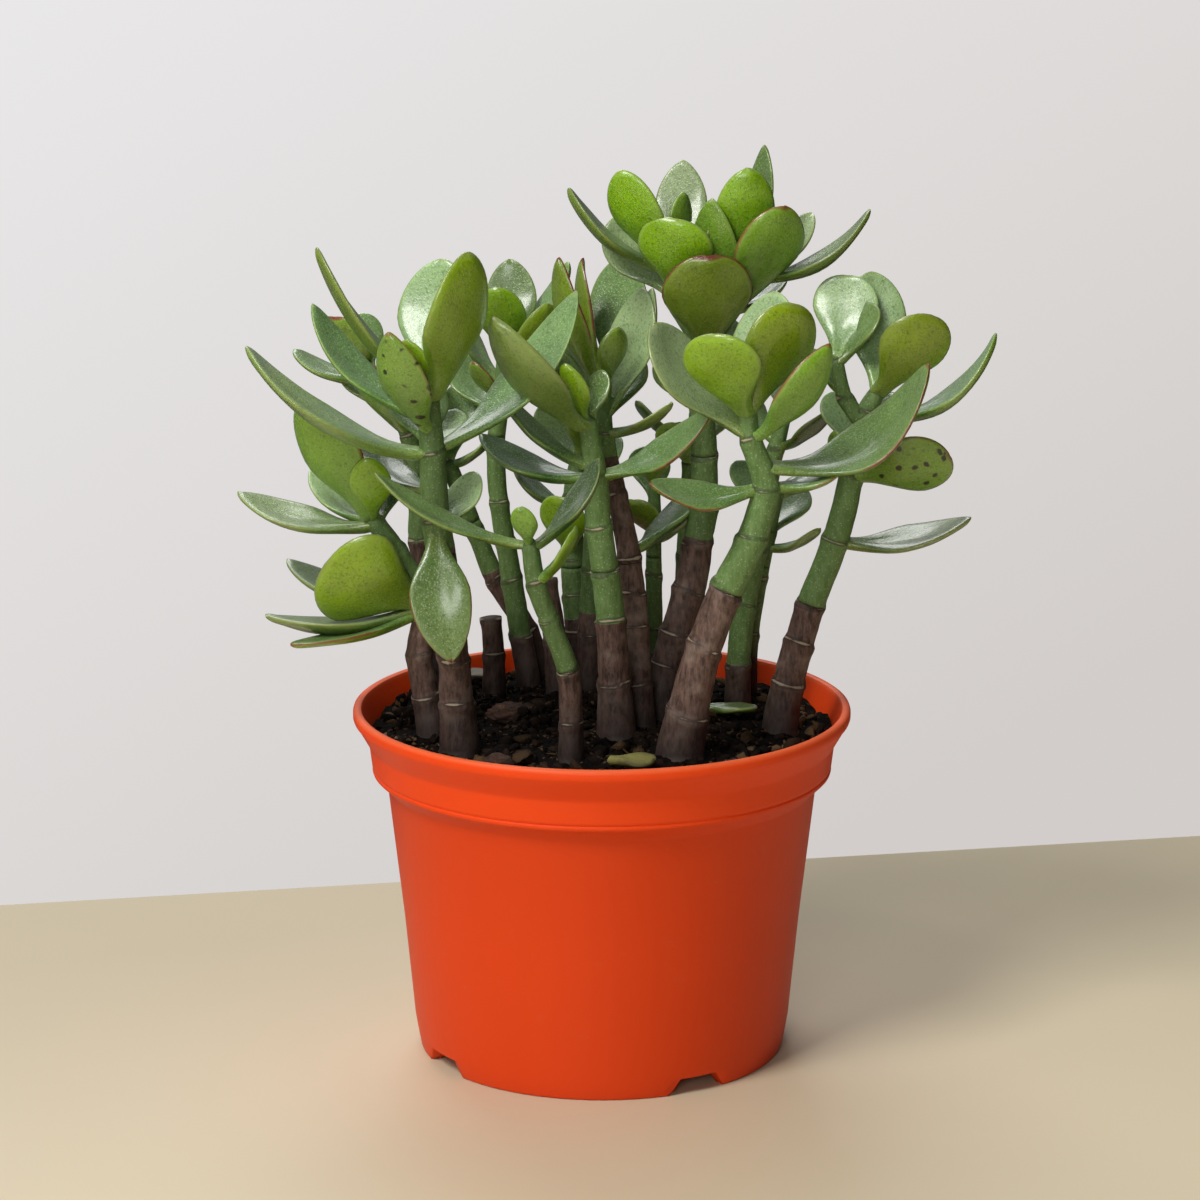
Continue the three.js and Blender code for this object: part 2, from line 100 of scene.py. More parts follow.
# the room: a table top, pale daylight all round, a big soft lamp and two weaker ones
room = {
    "table": "#d6c9ac", "tablePatch": "#cec0a1", "wall": "#eeedee", "wallShade": "#d2cdca",
    "dome": 0.055, "domeAbove": 0.22, "domeBehind": 0.13,
    "tableHalf": (1.6, 0.9), "tableBack": 0.19, "tableTurn": 11,
    "mainPower": 56, "mainSize": 0.9, "mainPlace": (-1.2, -1.45, 2.15), "mainTint": (1.0, 0.985, 0.96),
    "backPower": 10, "backSize": 0.9, "backPlace": (-0.25, 1.0, 1.25), "backTint": (1.0, 1.0, 1.0),
    "frontPower": 12, "frontSize": 0.6, "frontPlace": (-0.35, -2.2, 0.75), "frontTint": (1.0, 1.0, 1.0),
    "lampAim": (0, 0, 0.15),
    "lens": 120, "sensor": 36, "viewerPlace": (-0.0006, -1.284, 0.4582), "viewerTilt": 76.6,
}


def makeRoom():
    scene = bpy.context.scene
    scene.view_settings.view_transform = "Standard"
    world = bpy.data.worlds.new("paleWall")
    world.use_nodes = True
    tree = world.node_tree
    tree.nodes.clear()
    way = addNode(tree, "ShaderNodeTexCoord").outputs["Generated"]
    # what is seen: a pale wall, a little darker low down and to the right
    slope = addNode(tree, "ShaderNodeVectorMath", {"operation": "DOT_PRODUCT", 1: (-1.6, 0, 2.6)}, {0: way})
    shade = addNode(tree, "ShaderNodeMapRange", {"From Min": -0.85, "From Max": 0.2},
                    {"Value": slope.outputs["Value"]})
    wall = addNode(tree, "ShaderNodeMix", {"data_type": "RGBA", 6: linearColour(room["wallShade"]),
                                           7: linearColour(room["wall"])}, {0: shade.outputs["Result"]})
    seen = addNode(tree, "ShaderNodeBackground", {"Strength": 1.0}, {"Color": wall.outputs[2]})
    # what lights the plant: soft light, more from above and from the bright wall behind
    brighter = (-0.15, room["domeBehind"], room["domeAbove"])
    above = addNode(tree, "ShaderNodeVectorMath", {"operation": "DOT_PRODUCT", 1: brighter}, {0: way})
    glow = addNode(tree, "ShaderNodeMath", {"operation": "ADD", 1: room["dome"], "use_clamp": True},
                   {0: above.outputs["Value"]})
    lit = addNode(tree, "ShaderNodeBackground", {"Color": (0.98, 0.99, 1.0, 1.0)},
                  {"Strength": glow.outputs["Value"]})
    path = addNode(tree, "ShaderNodeLightPath").outputs["Is Camera Ray"]
    both = addNode(tree, "ShaderNodeMixShader", {},
                   {0: path, 1: lit.outputs["Background"], 2: seen.outputs["Background"]})
    addNode(tree, "ShaderNodeOutputWorld", links={"Surface": both.outputs["Shader"]})
    scene.world = world

    # painted chipboard table, satin
    material, tree, surface = newMaterial("paintedTable", {"Roughness": 0.55, "IOR": 1.5})
    place = addNode(tree, "ShaderNodeTexCoord").outputs["Object"]
    mottle = addNode(tree, "ShaderNodeTexNoise", {"Scale": 6, "Detail": 4}, {"Vector": place})
    tone = addNode(tree, "ShaderNodeMix", {"data_type": "RGBA", 6: linearColour(room["table"]),
                                           7: linearColour(room["tablePatch"])}, {0: mottle.outputs["Fac"]})
    # painted shade and light: the table is painted darker towards the wall and the left and lighter towards
    # the front, for how the lamps' light falls across it
    slant = addNode(tree, "ShaderNodeVectorMath", {"operation": "DOT_PRODUCT", 1: (0.35, -1, 0)}, {0: place})
    paintedFalloff = addNode(tree, "ShaderNodeMapRange",
                   {"From Min": -0.15, "From Max": 0.4, "To Min": 0.83, "To Max": 1.22},
                   {"Value": slant.outputs["Value"]})
    paint = addNode(tree, "ShaderNodeHueSaturation", {},
                    {"Value": paintedFalloff.outputs["Result"], "Color": tone.outputs[2]})
    tree.links.new(paint.outputs["Color"], surface.inputs["Base Color"])
    bm = bmesh.new()
    bmesh.ops.create_grid(bm, x_segments=1, y_segments=1, size=1)
    halfWide, halfDeep = room["tableHalf"]
    turned = Matrix.Rotation(math.radians(room["tableTurn"]), 3, "Z")
    bmesh.ops.scale(bm, vec=(halfWide, halfDeep, 1), verts=bm.verts)
    bmesh.ops.translate(bm, vec=(0, room["tableBack"] - halfDeep, 0), verts=bm.verts)
    bmesh.ops.rotate(bm, cent=(0, room["tableBack"], 0), matrix=turned, verts=bm.verts)
    mesh = bpy.data.meshes.new("tableTop")
    bm.to_mesh(mesh)
    bm.free()
    mesh.materials.append(material)
    table = bpy.data.objects.new("tableTop", mesh)
    scene.collection.objects.link(table)

    for name in ("main", "back", "front"):
        light = bpy.data.lights.new(name + "Lamp", "AREA")
        light.energy = room[name + "Power"]
        light.size = room[name + "Size"]
        light.color = room[name + "Tint"]
        lamp = bpy.data.objects.new(name + "Lamp", light)
        lamp.location = room[name + "Place"]
        towards = Vector(room["lampAim"]) - Vector(room[name + "Place"])
        lamp.rotation_euler = towards.to_track_quat("-Z", "Y").to_euler()
        scene.collection.objects.link(lamp)

    lens = bpy.data.cameras.new("viewer")
    lens.lens = room["lens"]
    lens.sensor_width = room["sensor"]
    lens.clip_end = 20
    viewer = bpy.data.objects.new("viewer", lens)
    viewer.location = room["viewerPlace"]
    viewer.rotation_euler = (math.radians(room["viewerTilt"]), 0, 0)
    scene.collection.objects.link(viewer)
    scene.camera = viewer


makeRoom()
print("room ready")

# the pot: an injection-moulded polypropylene nursery pot
pot = {
    "height": 117, "rim": 82.5, "foot": 61, "wall": 1.6, "lipHeight": 3.5, "lipSlant": 7, "collarInset": 5.2,
    "collarHeight": 21, "stepInset": 5, "stepHeight": 5, "floor": 2, "floorRise": 6.5, "pad": 17,
    "footWidth": 4.5, "holeRadius": 4.5, "holes": 8, "holeCircle": 38,
    "notches": 4, "notchTurn": 31, "notchAngle": 8.2, "notchHeight": 5.5, "steps": 192,
    "colour": "#e04510", "shadeColour": "#d33c0a", "dustColour": "#d65c34",
    "lipHighlightColour": "#f07a4c", "collarLitColour": "#fb4c10",
}


def polypropylene():
    # moulded polypropylene: even satin colour, a very fine orange-peel grain, a little dust and rubbing,
    # painted light on the collar and a painted highlight on the lip's top edge
    material, tree, surface = newMaterial("mouldedPolypropylene", {
        "Roughness": 0.5, "IOR": 1.45, "Specular IOR Level": 0.25, "Subsurface Weight": 0.05,
        "Subsurface Radius": (1.0, 0.15, 0.05), "Subsurface Scale": 0.0015})
    place = addNode(tree, "ShaderNodeTexCoord").outputs["Object"]
    flow = addNode(tree, "ShaderNodeMapping", {"Scale": (1, 1, 0.25)}, {"Vector": place})
    cloud = addNode(tree, "ShaderNodeTexNoise", {"Scale": 22, "Detail": 3},
                    {"Vector": flow.outputs["Vector"]})
    tone = addNode(tree, "ShaderNodeMix", {"data_type": "RGBA", 6: linearColour(pot["colour"]),
                                           7: linearColour(pot["shadeColour"])}, {0: cloud.outputs["Fac"]})
    scuff = addNode(tree, "ShaderNodeTexNoise", {"Scale": 160, "Detail": 5, "Roughness": 0.7},
                    {"Vector": place})
    rubbed = addNode(tree, "ShaderNodeMapRange", {"From Min": 0.6, "From Max": 0.78, "To Max": 0.3},
                     {"Value": scuff.outputs["Fac"]})
    dusty = addNode(tree, "ShaderNodeMix", {"data_type": "RGBA", 7: linearColour(pot["dustColour"])},
                    {0: rubbed.outputs["Result"], 6: tone.outputs[2]})
    # painted light: the collar is painted brighter for the light that falls on its upright face, and the
    # lip's top edge is painted paler as a highlight
    high = addNode(tree, "ShaderNodeSeparateXYZ", links={"Vector": place}).outputs["Z"]
    # painted highlight: the rounded top of the lip is mixed halfway to a paler orange
    atLip = addNode(tree, "ShaderNodeMapRange",
                    {"From Min": (pot["height"] - 1.6) * mm, "From Max": (pot["height"] - 0.3) * mm,
                     "To Max": 0.5}, {"Value": high})
    collarFoot = pot["height"] - pot["collarHeight"]
    # painted light: from just above the collar's foot upwards, the colour is mixed halfway to a brighter
    # orange
    collarLitShare = addNode(tree, "ShaderNodeMapRange",
                       {"From Min": (collarFoot - 1) * mm, "From Max": (collarFoot + 1) * mm,
                        "To Max": 0.5}, {"Value": high})
    collar = addNode(tree, "ShaderNodeMix", {"data_type": "RGBA", 7: linearColour(pot["collarLitColour"])},
                     {0: collarLitShare.outputs["Result"], 6: dusty.outputs[2]})
    # painted highlight on the lip's top edge
    worn = addNode(tree, "ShaderNodeMix", {"data_type": "RGBA", 7: linearColour(pot["lipHighlightColour"])},
                   {0: atLip.outputs["Result"], 6: collar.outputs[2]})
    tree.links.new(worn.outputs[2], surface.inputs["Base Color"])
    grain = addNode(tree, "ShaderNodeTexNoise", {"Scale": 1 / (1.4 * mm), "Detail": 2}, {"Vector": place})
    bump = addNode(tree, "ShaderNodeBump", {"Strength": 0.12, "Distance": 0.12 * mm},
                   {"Height": grain.outputs["Fac"]})
    tree.links.new(bump.outputs["Normal"], surface.inputs["Normal"])
    return material


def makePot():
    collar = pot["rim"] - pot["collarInset"]
    stepTop = pot["height"] - pot["collarHeight"]
    stepBottom = stepTop - pot["stepHeight"]
    wallTop = collar - 1 - pot["stepInset"]
    underLip = pot["height"] - pot["lipHeight"] - pot["lipSlant"]
    lip = pot["height"] - pot["lipHeight"]
    mouth = pot["rim"] - 3
    floorTop = pot["floorRise"] + pot["floor"]
    wall = pot["wall"]
    innerFoot = pot["foot"] - wall + (wallTop - pot["foot"]) * (floorTop / stepBottom)
    # half of the section, from the middle of the underside up the outside, over the lip and down the inside;
    # the small numbers are the mould's rounded corners
    outline = [
        (0, 0), (pot["pad"], 0), (pot["pad"] + 0.8, 0.5), (pot["pad"] + 3.2, pot["floorRise"] - 0.4),
        (pot["pad"] + 4, pot["floorRise"]), (pot["foot"] - pot["footWidth"] - 1.4, pot["floorRise"]),
        (pot["foot"] - pot["footWidth"] - 0.9, pot["floorRise"] - 0.3),
        (pot["foot"] - pot["footWidth"] - 0.8, 5.7), (pot["foot"] - pot["footWidth"], 0.4),
        (pot["foot"] - pot["footWidth"] + 0.4, 0), (pot["foot"] - 0.7, 0), (pot["foot"] - 0.15, 0.3),
        (pot["foot"] + 0.1, 0.8), (pot["foot"] + 1.0, 5.7), (pot["foot"] + 1.12, 6.4),
        (pot["foot"] + 1.9, 11),
        (pot["foot"] + (wallTop - pot["foot"]) * 0.5, stepBottom * 0.5),
        (wallTop - 0.05, stepBottom - 0.8), (wallTop + 0.3, stepBottom + 0.2), (collar - 1.6, stepTop - 1.0),
        (collar - 1.15, stepTop - 0.5), (collar - 1.0, stepTop), (collar - 1.05, stepTop + 0.5),
        (collar - 1.35, stepTop + 0.8), (collar - 1.35, stepTop + 1.1), (collar - 0.95, stepTop + 1.5),
        (collar - 0.85, stepTop + 2.2), (collar - 0.05, underLip - 1.8), (collar + 0.15, underLip - 0.8),
        (collar + 0.8, underLip), (pot["rim"] - 1.2, lip - 1.4), (pot["rim"] - 0.3, lip - 0.3),
        (pot["rim"], lip + 0.5), (pot["rim"], pot["height"] - 1.3), (pot["rim"] - 0.25, pot["height"] - 0.5),
        (pot["rim"] - 0.9, pot["height"] - 0.05), (mouth + 1.1, pot["height"]),
        (mouth + 0.35, pot["height"] - 0.3),
        (mouth, pot["height"] - 1.0), (mouth - 0.8, lip), (collar - wall, underLip - 1),
        (collar - 1 - wall, stepTop), (wallTop - wall, stepBottom), (innerFoot + 0.6, floorTop + 1.5),
        (innerFoot - 0.8, floorTop), (0, floorTop),
    ]
    bm = bmesh.new()
    chain = [bm.verts.new((r, 0, z)) for r, z in outline]
    edges = [bm.edges.new(pair) for pair in zip(chain, chain[1:])]
    bmesh.ops.spin(bm, geom=chain + edges, cent=(0, 0, 0), axis=(0, 0, 1), angle=2 * math.pi,
                   steps=pot["steps"], use_merge=True, use_duplicate=False)
    bmesh.ops.remove_doubles(bm, verts=bm.verts, dist=0.01)
    notchPitch = 360 / pot["notches"]
    for vert in bm.verts:  # the foot is lifted where the water runs out
        if math.hypot(vert.co.x,
                      vert.co.y) > pot["foot"] - pot["footWidth"] - 0.5 and vert.co.z < pot["notchHeight"]:
            turn = math.degrees(math.atan2(vert.co.x, -vert.co.y)) - pot["notchTurn"]
            off = abs((turn + notchPitch / 2) % notchPitch - notchPitch / 2)
            lift = 1 - smoothStep(pot["notchAngle"] - 0.9, pot["notchAngle"] + 1.0, off)
            vert.co.z += (pot["notchHeight"] - vert.co.z) * lift
    bmesh.ops.recalc_face_normals(bm, faces=bm.faces)
    body = bpy.data.meshes.new("potBody")
    bm.to_mesh(body)
    bm.free()
    shell = bpy.data.objects.new("potShell", body)
    bpy.context.scene.collection.objects.link(shell)

    bm = bmesh.new()  # drills for the drain holes
    for i in range(pot["holes"]):
        turn = i * 2 * math.pi / pot["holes"]
        at = Matrix.Translation((pot["holeCircle"] * math.cos(turn), pot["holeCircle"] * math.sin(turn),
                                 pot["floorRise"]))
        bmesh.ops.create_cone(bm, cap_ends=True, segments=32, radius1=pot["holeRadius"],
                              radius2=pot["holeRadius"],
                              depth=9, matrix=at)
    drills = bpy.data.meshes.new("drills")
    bm.to_mesh(drills)
    bm.free()
    tool = bpy.data.objects.new("drills", drills)
    bpy.context.scene.collection.objects.link(tool)
    cut = shell.modifiers.new("drainHoles", "BOOLEAN")
    cut.object = tool
    cut.operation = "DIFFERENCE"
    cut.solver = "EXACT"
    bpy.context.view_layer.update()
    bored = bpy.data.meshes.new_from_object(shell.evaluated_get(bpy.context.evaluated_depsgraph_get()))
    bpy.data.objects.remove(shell)
    bpy.data.objects.remove(tool)
    bm = bmesh.new()
    bm.from_mesh(bored)
    finishPiece("potBody", bm, [polypropylene()], "pot", sharpAngle=38)


makePot()
print("pot ready")

# planting plan, in millimetres: [x, y, height above the soil at the wall, radius]
soilLevel = 109
soilCrown = 2.5
soilRadius = 76.7
grown = soilRadius / 77

stemPlan = {
    "left_front": [
        [[-46, -35, 0, 7], [-47, -36, 18, 5.6], [-48, -38, 34, 5.1], [-50, -39, 57, 4.8], [-53, -40, 80, 4.6],
         [-54, -41, 102, 4.2], [-55, -42, 124, 3]],
    ],
    "left_middle": [[[-56, -13, 0, 5.2], [-58, -13, 15, 4.6], [-60, -14, 30, 4.2], [-58, -15, 46, 4],
                     [-67, -17, 64, 3.6], [-75, -19, 76, 3]]],
    "left_rear": [[[-55, 40, 0, 4.8], [-58, 40, 26, 4.3], [-62, 40, 55, 3.8], [-62, 39, 69, 3.6],
                   [-65, 38, 92, 3.2], [-71, 36, 103, 2.8], [-77, 34, 114, 2.4]]],
    "cut_stub": [[[-37, 40, 0, 4.1], [-37, 40, 15, 3.7], [-38, 40, 28, 3.5]]],
    "back_left": [[[-25, 47, 0, 4.2], [-28, 47, 20, 3.8], [-31, 47, 40, 3.6], [-35, 46, 67, 3.3],
                   [-36, 46, 86, 3.1], [-34, 46, 104, 2.8], [-33, 46, 120, 2.3]]],
    "back_lean": [[[-21, 61, 0, 4.2], [-26, 61, 18, 3.8], [-37, 60, 37, 3.5], [-44, 58, 55, 3.2],
                   [-53, 54, 80, 2.7]]],
    "back_short": [[[-15, 37, 0, 4.2], [-16, 37, 20, 3.9], [-19, 38, 42, 3.6]]],
    "back_middle": [[[-9, 57, 0, 4.4], [-9, 57, 20, 4], [-10, 57, 44, 4.2], [-10, 58, 66, 3.4],
                     [-8, 58, 82, 2.6]]],
    "small_front": [[[-10, -45, 0, 4.4], [-10, -46, 14, 3.8], [-11, -48, 32, 3.6], [-17, -51, 50, 3.2],
                     [-21, -53, 62, 3.2], [-23, -54, 76, 2.6]]],
    "centre_back": [[[-4, 41, 0, 4.6], [-4, 41, 22, 4.2], [-3, 40, 44, 3.9], [-2, 40, 66, 3.5],
                     [0, 40, 90, 3.1], [2, 40, 114, 2.4]]],
    "centre_front": [[[5, -18, 0, 7], [4, -18, 21, 5.4], [3, -18, 41, 4.9], [1, -18, 58, 4.5],
                      [-1, -18, 73, 4.2], [-2, -18, 89, 3.8], [-5, -19, 109, 2.9]]],
    "dark_lean": [[[13, -5, 0, 5.2], [12, -3, 15, 4.8], [11, 0, 34, 4.6], [9, 2, 58, 3.9], [5, 6, 78, 3.3],
                   [1, 10, 98, 2.9], [1, 12, 116, 2.2]]],
    "thin_back": [[[17, 56, 0, 3.4], [18, 56, 20, 3], [18, 55, 40, 2.8], [18, 54, 58, 2.5], [18, 53, 72, 2]]],
    "thin_rear": [[[27, 63, 0, 3.2], [28, 61, 30, 2.9], [29, 58, 60, 2.6], [30, 54, 80, 2.4],
                   [29, 52, 92, 2]]],
    "tall_centre": [
        [[19, 9, 0, 6.6], [22, 10, 18, 5.7], [29, 11, 44, 5.5], [32, 12, 61, 5], [34, 13, 73, 4.6],
         [34, 13, 90, 4.4], [33, 13, 108, 4], [34, 14, 128, 3.5]],
        [[34, 14, 126, 3.2], [25, 13, 140, 3], [22, 12, 160, 2.4]],
        [[34, 14, 126, 3.2], [44, 14, 141, 3], [47, 14, 161, 2.4]],
    ],
    "right_front": [[[25, -40, 0, 8], [28, -41, 17, 6.6], [33, -42, 38, 5.8], [40, -42, 57, 5.4],
                     [48, -42, 74, 4.9], [52, -42, 91, 4.3], [47, -43, 107, 3.4], [46, -43, 120, 2.6]]],
    "right_middle": [[[46, 17, 0, 4.6], [46, 16, 18, 4.1], [48, 16, 38, 3.9], [52, 16, 58, 3.5],
                      [55, 16, 76, 3.2], [58, 16, 92, 2.8], [61, 16, 104, 2.2]]],
    "thin_right": [[[50, 43, 0, 3.4], [51, 43, 22, 3], [54, 42, 42, 2.8], [57, 41, 58, 2.6],
                    [60, 40, 73, 2.1]]],
    "right_edge": [
        [[59, -9, 0, 6.2], [62, -8, 18, 5.2], [69, -7, 44, 4.7], [77, -6, 66, 4.4], [82, -6, 88, 4],
         [86, -6, 108, 3.3], [92, -6, 118, 2.4]],
        [[85, -6, 104, 2.8], [79, -6, 113, 2.6], [76, -6, 126, 2.2]],
    ],
}

# shoots: where the shoot starts, the look of each leaf in turn (g plain, p pale bloom with painted sheen,
# y painted lit through from behind, d painted in shade, r red edged, s spotted), and the leaves: [height,
# right, back, up, width, turn, curl, run]
shootPlan = {
    "left_front": (68, "pgypsgggrdygp", [
        [101, -58, -8, 36, 28, -2, 0.12], [102, 46, 28, 47, 21, 10, 0.12], [118, 13, -14, 50, 28, 0, 0.08],
        [121, 4, 18, 40, 25, 0, 0.08], [108, -12, -22, 36, 18, 0, 0.1], [121, -35, 2, 46, 21, 6, 0.08],
        [112, -38, 14, 35, 18, -4, 0.12], [104, -6, 24, 18, 20, 0, 0.12], [79, 5, -15, -43, 20, 16, -0.08],
        [89, -26, 36, 12, 15, 0, 0.12], [122, -6, -12, 18, 12, 0, 0.06], [122, 4, 10, 16, 11, 0, 0.06],
        [76, 12, 14, 16, 14, 0, 0.1]]),
    "left_middle": (42, "rppdyygpr", [
        [75, -22, -6, 41, 25, 45, 0.08], [73, -46, 8, 9, 22, -4, 0.1], [74, -22, 30, 13, 16, 0, 0.1],
        [73, 4, 22, 22, 16, 0, 0.1], [75, -1, -13, 23, 14, 0, 0.06], [47, -32, -12, 14, 37, 62, 0.06],
        [48, -46, 20, 8, 24, 0, 0.12], [45, -52, -6, -2, 26, 6, 0.1], [44, -43, -20, -7, 18, 10, 0.06]]),
    "left_rear": (78, "rggrpgg", [
        [113, -12, -14, 22, 24, 0, 0.06], [112, -28, 8, 8, 18, 0, 0.12], [101, -19, 16, 14, 17, 0, 0.1],
        [93, -14, -15, 27, 19, 0, 0.08], [95, 4, 26, 20, 18, 0, 0.1], [114, -4, 12, 18, 14, 0, 0.08],
        [84, 14, 24, 12, 18, 0, 0.12]]),
    "back_left": (90, "ggyyrgp", [
        [118, 2, 16, 30, 18, 0, 0.1], [116, 22, 10, 32, 18, 0, 0.1], [117, -2, -14, 26, 17, 0, 0.06],
        [106, 16, -16, 32, 20, 0, 0.08], [103, -9, -10, 14, 11, 0, 0.08], [98, -14, 22, 16, 18, 0, 0.12],
        [108, -16, 6, 28, 16, 0, 0.1]]),
    "back_lean": (58, "pggd", [
        [78, 14, -2, 10, 12, 0, 0.1], [79, -14, 18, 20, 18, 0, 0.1], [79, 5, 14, 26, 16, 0, 0.1],
        [66, -16, -8, 14, 15, 0, 0.1]]),
    "back_middle": (42, "ygggd", [
        [46, -4, -12, 23, 18, 0, 0.06], [80, 4, -8, 22, 15, 0, 0.06], [78, -10, 16, 18, 18, 0, 0.1],
        [70, 14, 12, 16, 18, 0, 0.1], [62, -20, 6, 14, 16, 0, 0.1]]),
    "small_front": (32, "gdyg", [
        [74, -49, -2, 24, 12, -12, 0.1], [73, 22, 6, 28, 17, 0, 0.1], [62, 12, -10, 19, 17, 20, 0.08],
        [74, -3, -7, 14, 9, 0, 0.06]]),
    "centre_back": (92, "rgpgg", [
        [108, -8, -2, 44, 18, 0, 0.08], [112, 5, 14, 38, 22, 0, 0.08], [104, 16, 10, 36, 18, 0, 0.1],
        [100, -14, 10, 20, 15, 0, 0.1], [98, 7, 26, 20, 20, 0, 0.12]]),
    "centre_front": (58, "pyyddrp", [
        [105, -30, -28, 41, 23, 14, 0.1], [107, -7, -10, 21, 12, 0, 0.06], [107, 5, 7, 16, 10, 0, 0.06],
        [89, -38, 10, 12, 21, 0, 0.12], [92, -30, 4, 24, 18, 0, 0.1], [89, 38, -8, 24, 19, 26, 0.12],
        [106, -10, 16, 22, 15, 0, 0.1]]),
    "dark_lean": (56, "prpgd", [
        [104, 13, 14, 40, 23, 0, 0.1], [112, -15, -12, 46, 16, 0, 0.1], [98, 22, -12, 12, 15, 0, 0.1],
        [114, 4, -6, 20, 12, 0, 0.06], [60, 22, 26, 16, 20, -25, 0.1]]),
    "thin_back": (46, "pggg", [
        [52, 13, -14, 16, 15, 0, 0.08], [70, 0, -6, 16, 12, 0, 0.06], [55, -7, -14, 14, 14, 0, 0.08],
        [66, -3, 14, 16, 15, 0, 0.1]]),
    "thin_rear": (64, "dggg", [
        [88, -17, -8, 14, 16, 0, 0.12], [80, -5, -16, 16, 17, 0, 0.08], [90, 8, -8, 16, 14, 0, 0.08],
        [84, 12, 10, 16, 16, 0, 0.1]]),
    "tall_centre": (90, "gyppygggyyrpggprgg", [
        [152, -34, -2, 27, 21, 0, 0.12, 1], [153, -17, -12, 33, 21, 14, 0.08, 1],
        [152, 4, 16, 34, 18, 0, 0.08, 1], [143, -21, 12, 24, 21, -42, 0.1, 1],
        [144, -1, -16, 27, 25, 0, 0.08, 1], [156, 4, -4, 22, 12, 0, 0.06, 1],
        [146, 16, -4, 30, 17, 0, 0.1, 1], [140, -8, -14, 37, 17, 0, 0.08, 2],
        [152, 1, -14, 35, 20, 0, 0.08, 2], [155, 7, 6, 37, 14, 0, 0.06, 2],
        [139, 16, -17, 36, 25, -10, 0.08, 2], [148, 24, 10, 21, 18, 0, 0.12, 2],
        [149, 42, -4, 23, 20, 0, 0.16, 2], [138, 18, 14, 10, 15, 0, 0.1, 2],
        [152, -4, 22, 16, 17, 0, 0.1, 2], [124, 0, -24, 36, 30, 0, 0.06], [116, 8, 26, 16, 20, 0, 0.12],
        [106, -10, 22, 16, 18, 0, 0.12]]),
    "right_front": (57, "pryypyrsr", [
        [108, -31, 6, 34, 27, -28, 0.08], [106, 24, -12, 33, 18, -24, 0.12],
        [114, -12, -18, 29, 26, 16, 0.06], [115, 14, -8, 36, 26, -32, 0.06], [114, 9, 16, 37, 23, 0, 0.08],
        [118, 1, 6, 16, 10, 0, 0.06], [91, -37, -12, 3, 17, -20, 0.12], [91, 27, 12, 8, 18, 0, 0.14],
        [97, 53, 2, 33, 28, 22, 0.24]]),
    "right_middle": (78, "dggp", [
        [92, 16, -12, 14, 14, 0, 0.1], [102, 5, 24, 16, 18, 0, 0.1], [94, -14, 14, 18, 16, 0, 0.1],
        [103, 10, -6, 14, 10, 0, 0.06]]),
    "thin_right": (46, "gggp", [
        [70, 11, 8, 6, 12, 0, 0.08], [58, 10, 20, 12, 17, 0, 0.1], [66, -12, 12, 14, 16, 0, 0.1],
        [52, 18, -6, 8, 14, 0, 0.12]]),
    "right_edge": (44, "gpgpygsppgg", [
        [124, 12, 4, 19, 18, 0, 0.06, 1], [125, 4, 13, 26, 22, 0, 0.06, 1],
        [114, -10, 4, 14, 11, 0, 0.06, 1], [115, -2, 14, 37, 22, 0, 0.08],
        [114, 17, -14, 28, 24, -35, 0.08], [106, 42, -6, 29, 21, 0, 0.2], [87, 31, -13, 9, 25, -55, 0.08],
        [65, 44, -6, 9, 21, 14, 0.12], [96, -8, 14, 16, 14, 0, 0.1], [98, 14, 24, 12, 20, 0, 0.12],
        [88, -6, -12, 16, 11, 0, 0.08]]),
}
brownTo = {"back_left": 20, "centre_front": 41, "tall_centre": 62, "right_middle": 18, "thin_back": 12,
           "thin_right": 14,
           "dark_lean": 90, "left_rear": 55, "centre_back": 30, "back_middle": 24, "back_lean": 40,
           "left_middle": 42,
           "left_front": 70, "thin_rear": 30, "small_front": 32, "right_front": 57, "right_edge": 44,
           "cut_stub": 60, "back_short": 60}

# stems: corky brown below, green and jointed above
stemLook = {
    "ringStep": 1.3, "sides": 22, "rooting": 12, "gap": 0.3, "joint": 0.12, "groove": 0.06, "tilt": 0.9,
    "bark": "#6a5248", "barkPale": "#9c897c", "barkDark": "#35261f", "scar": "#a99a84", "crack": "#241b17",
    "stain": "#1c1512",
    "green": "#66804a", "greenPale": "#a0b08a", "greenDark": "#4f6934",
}


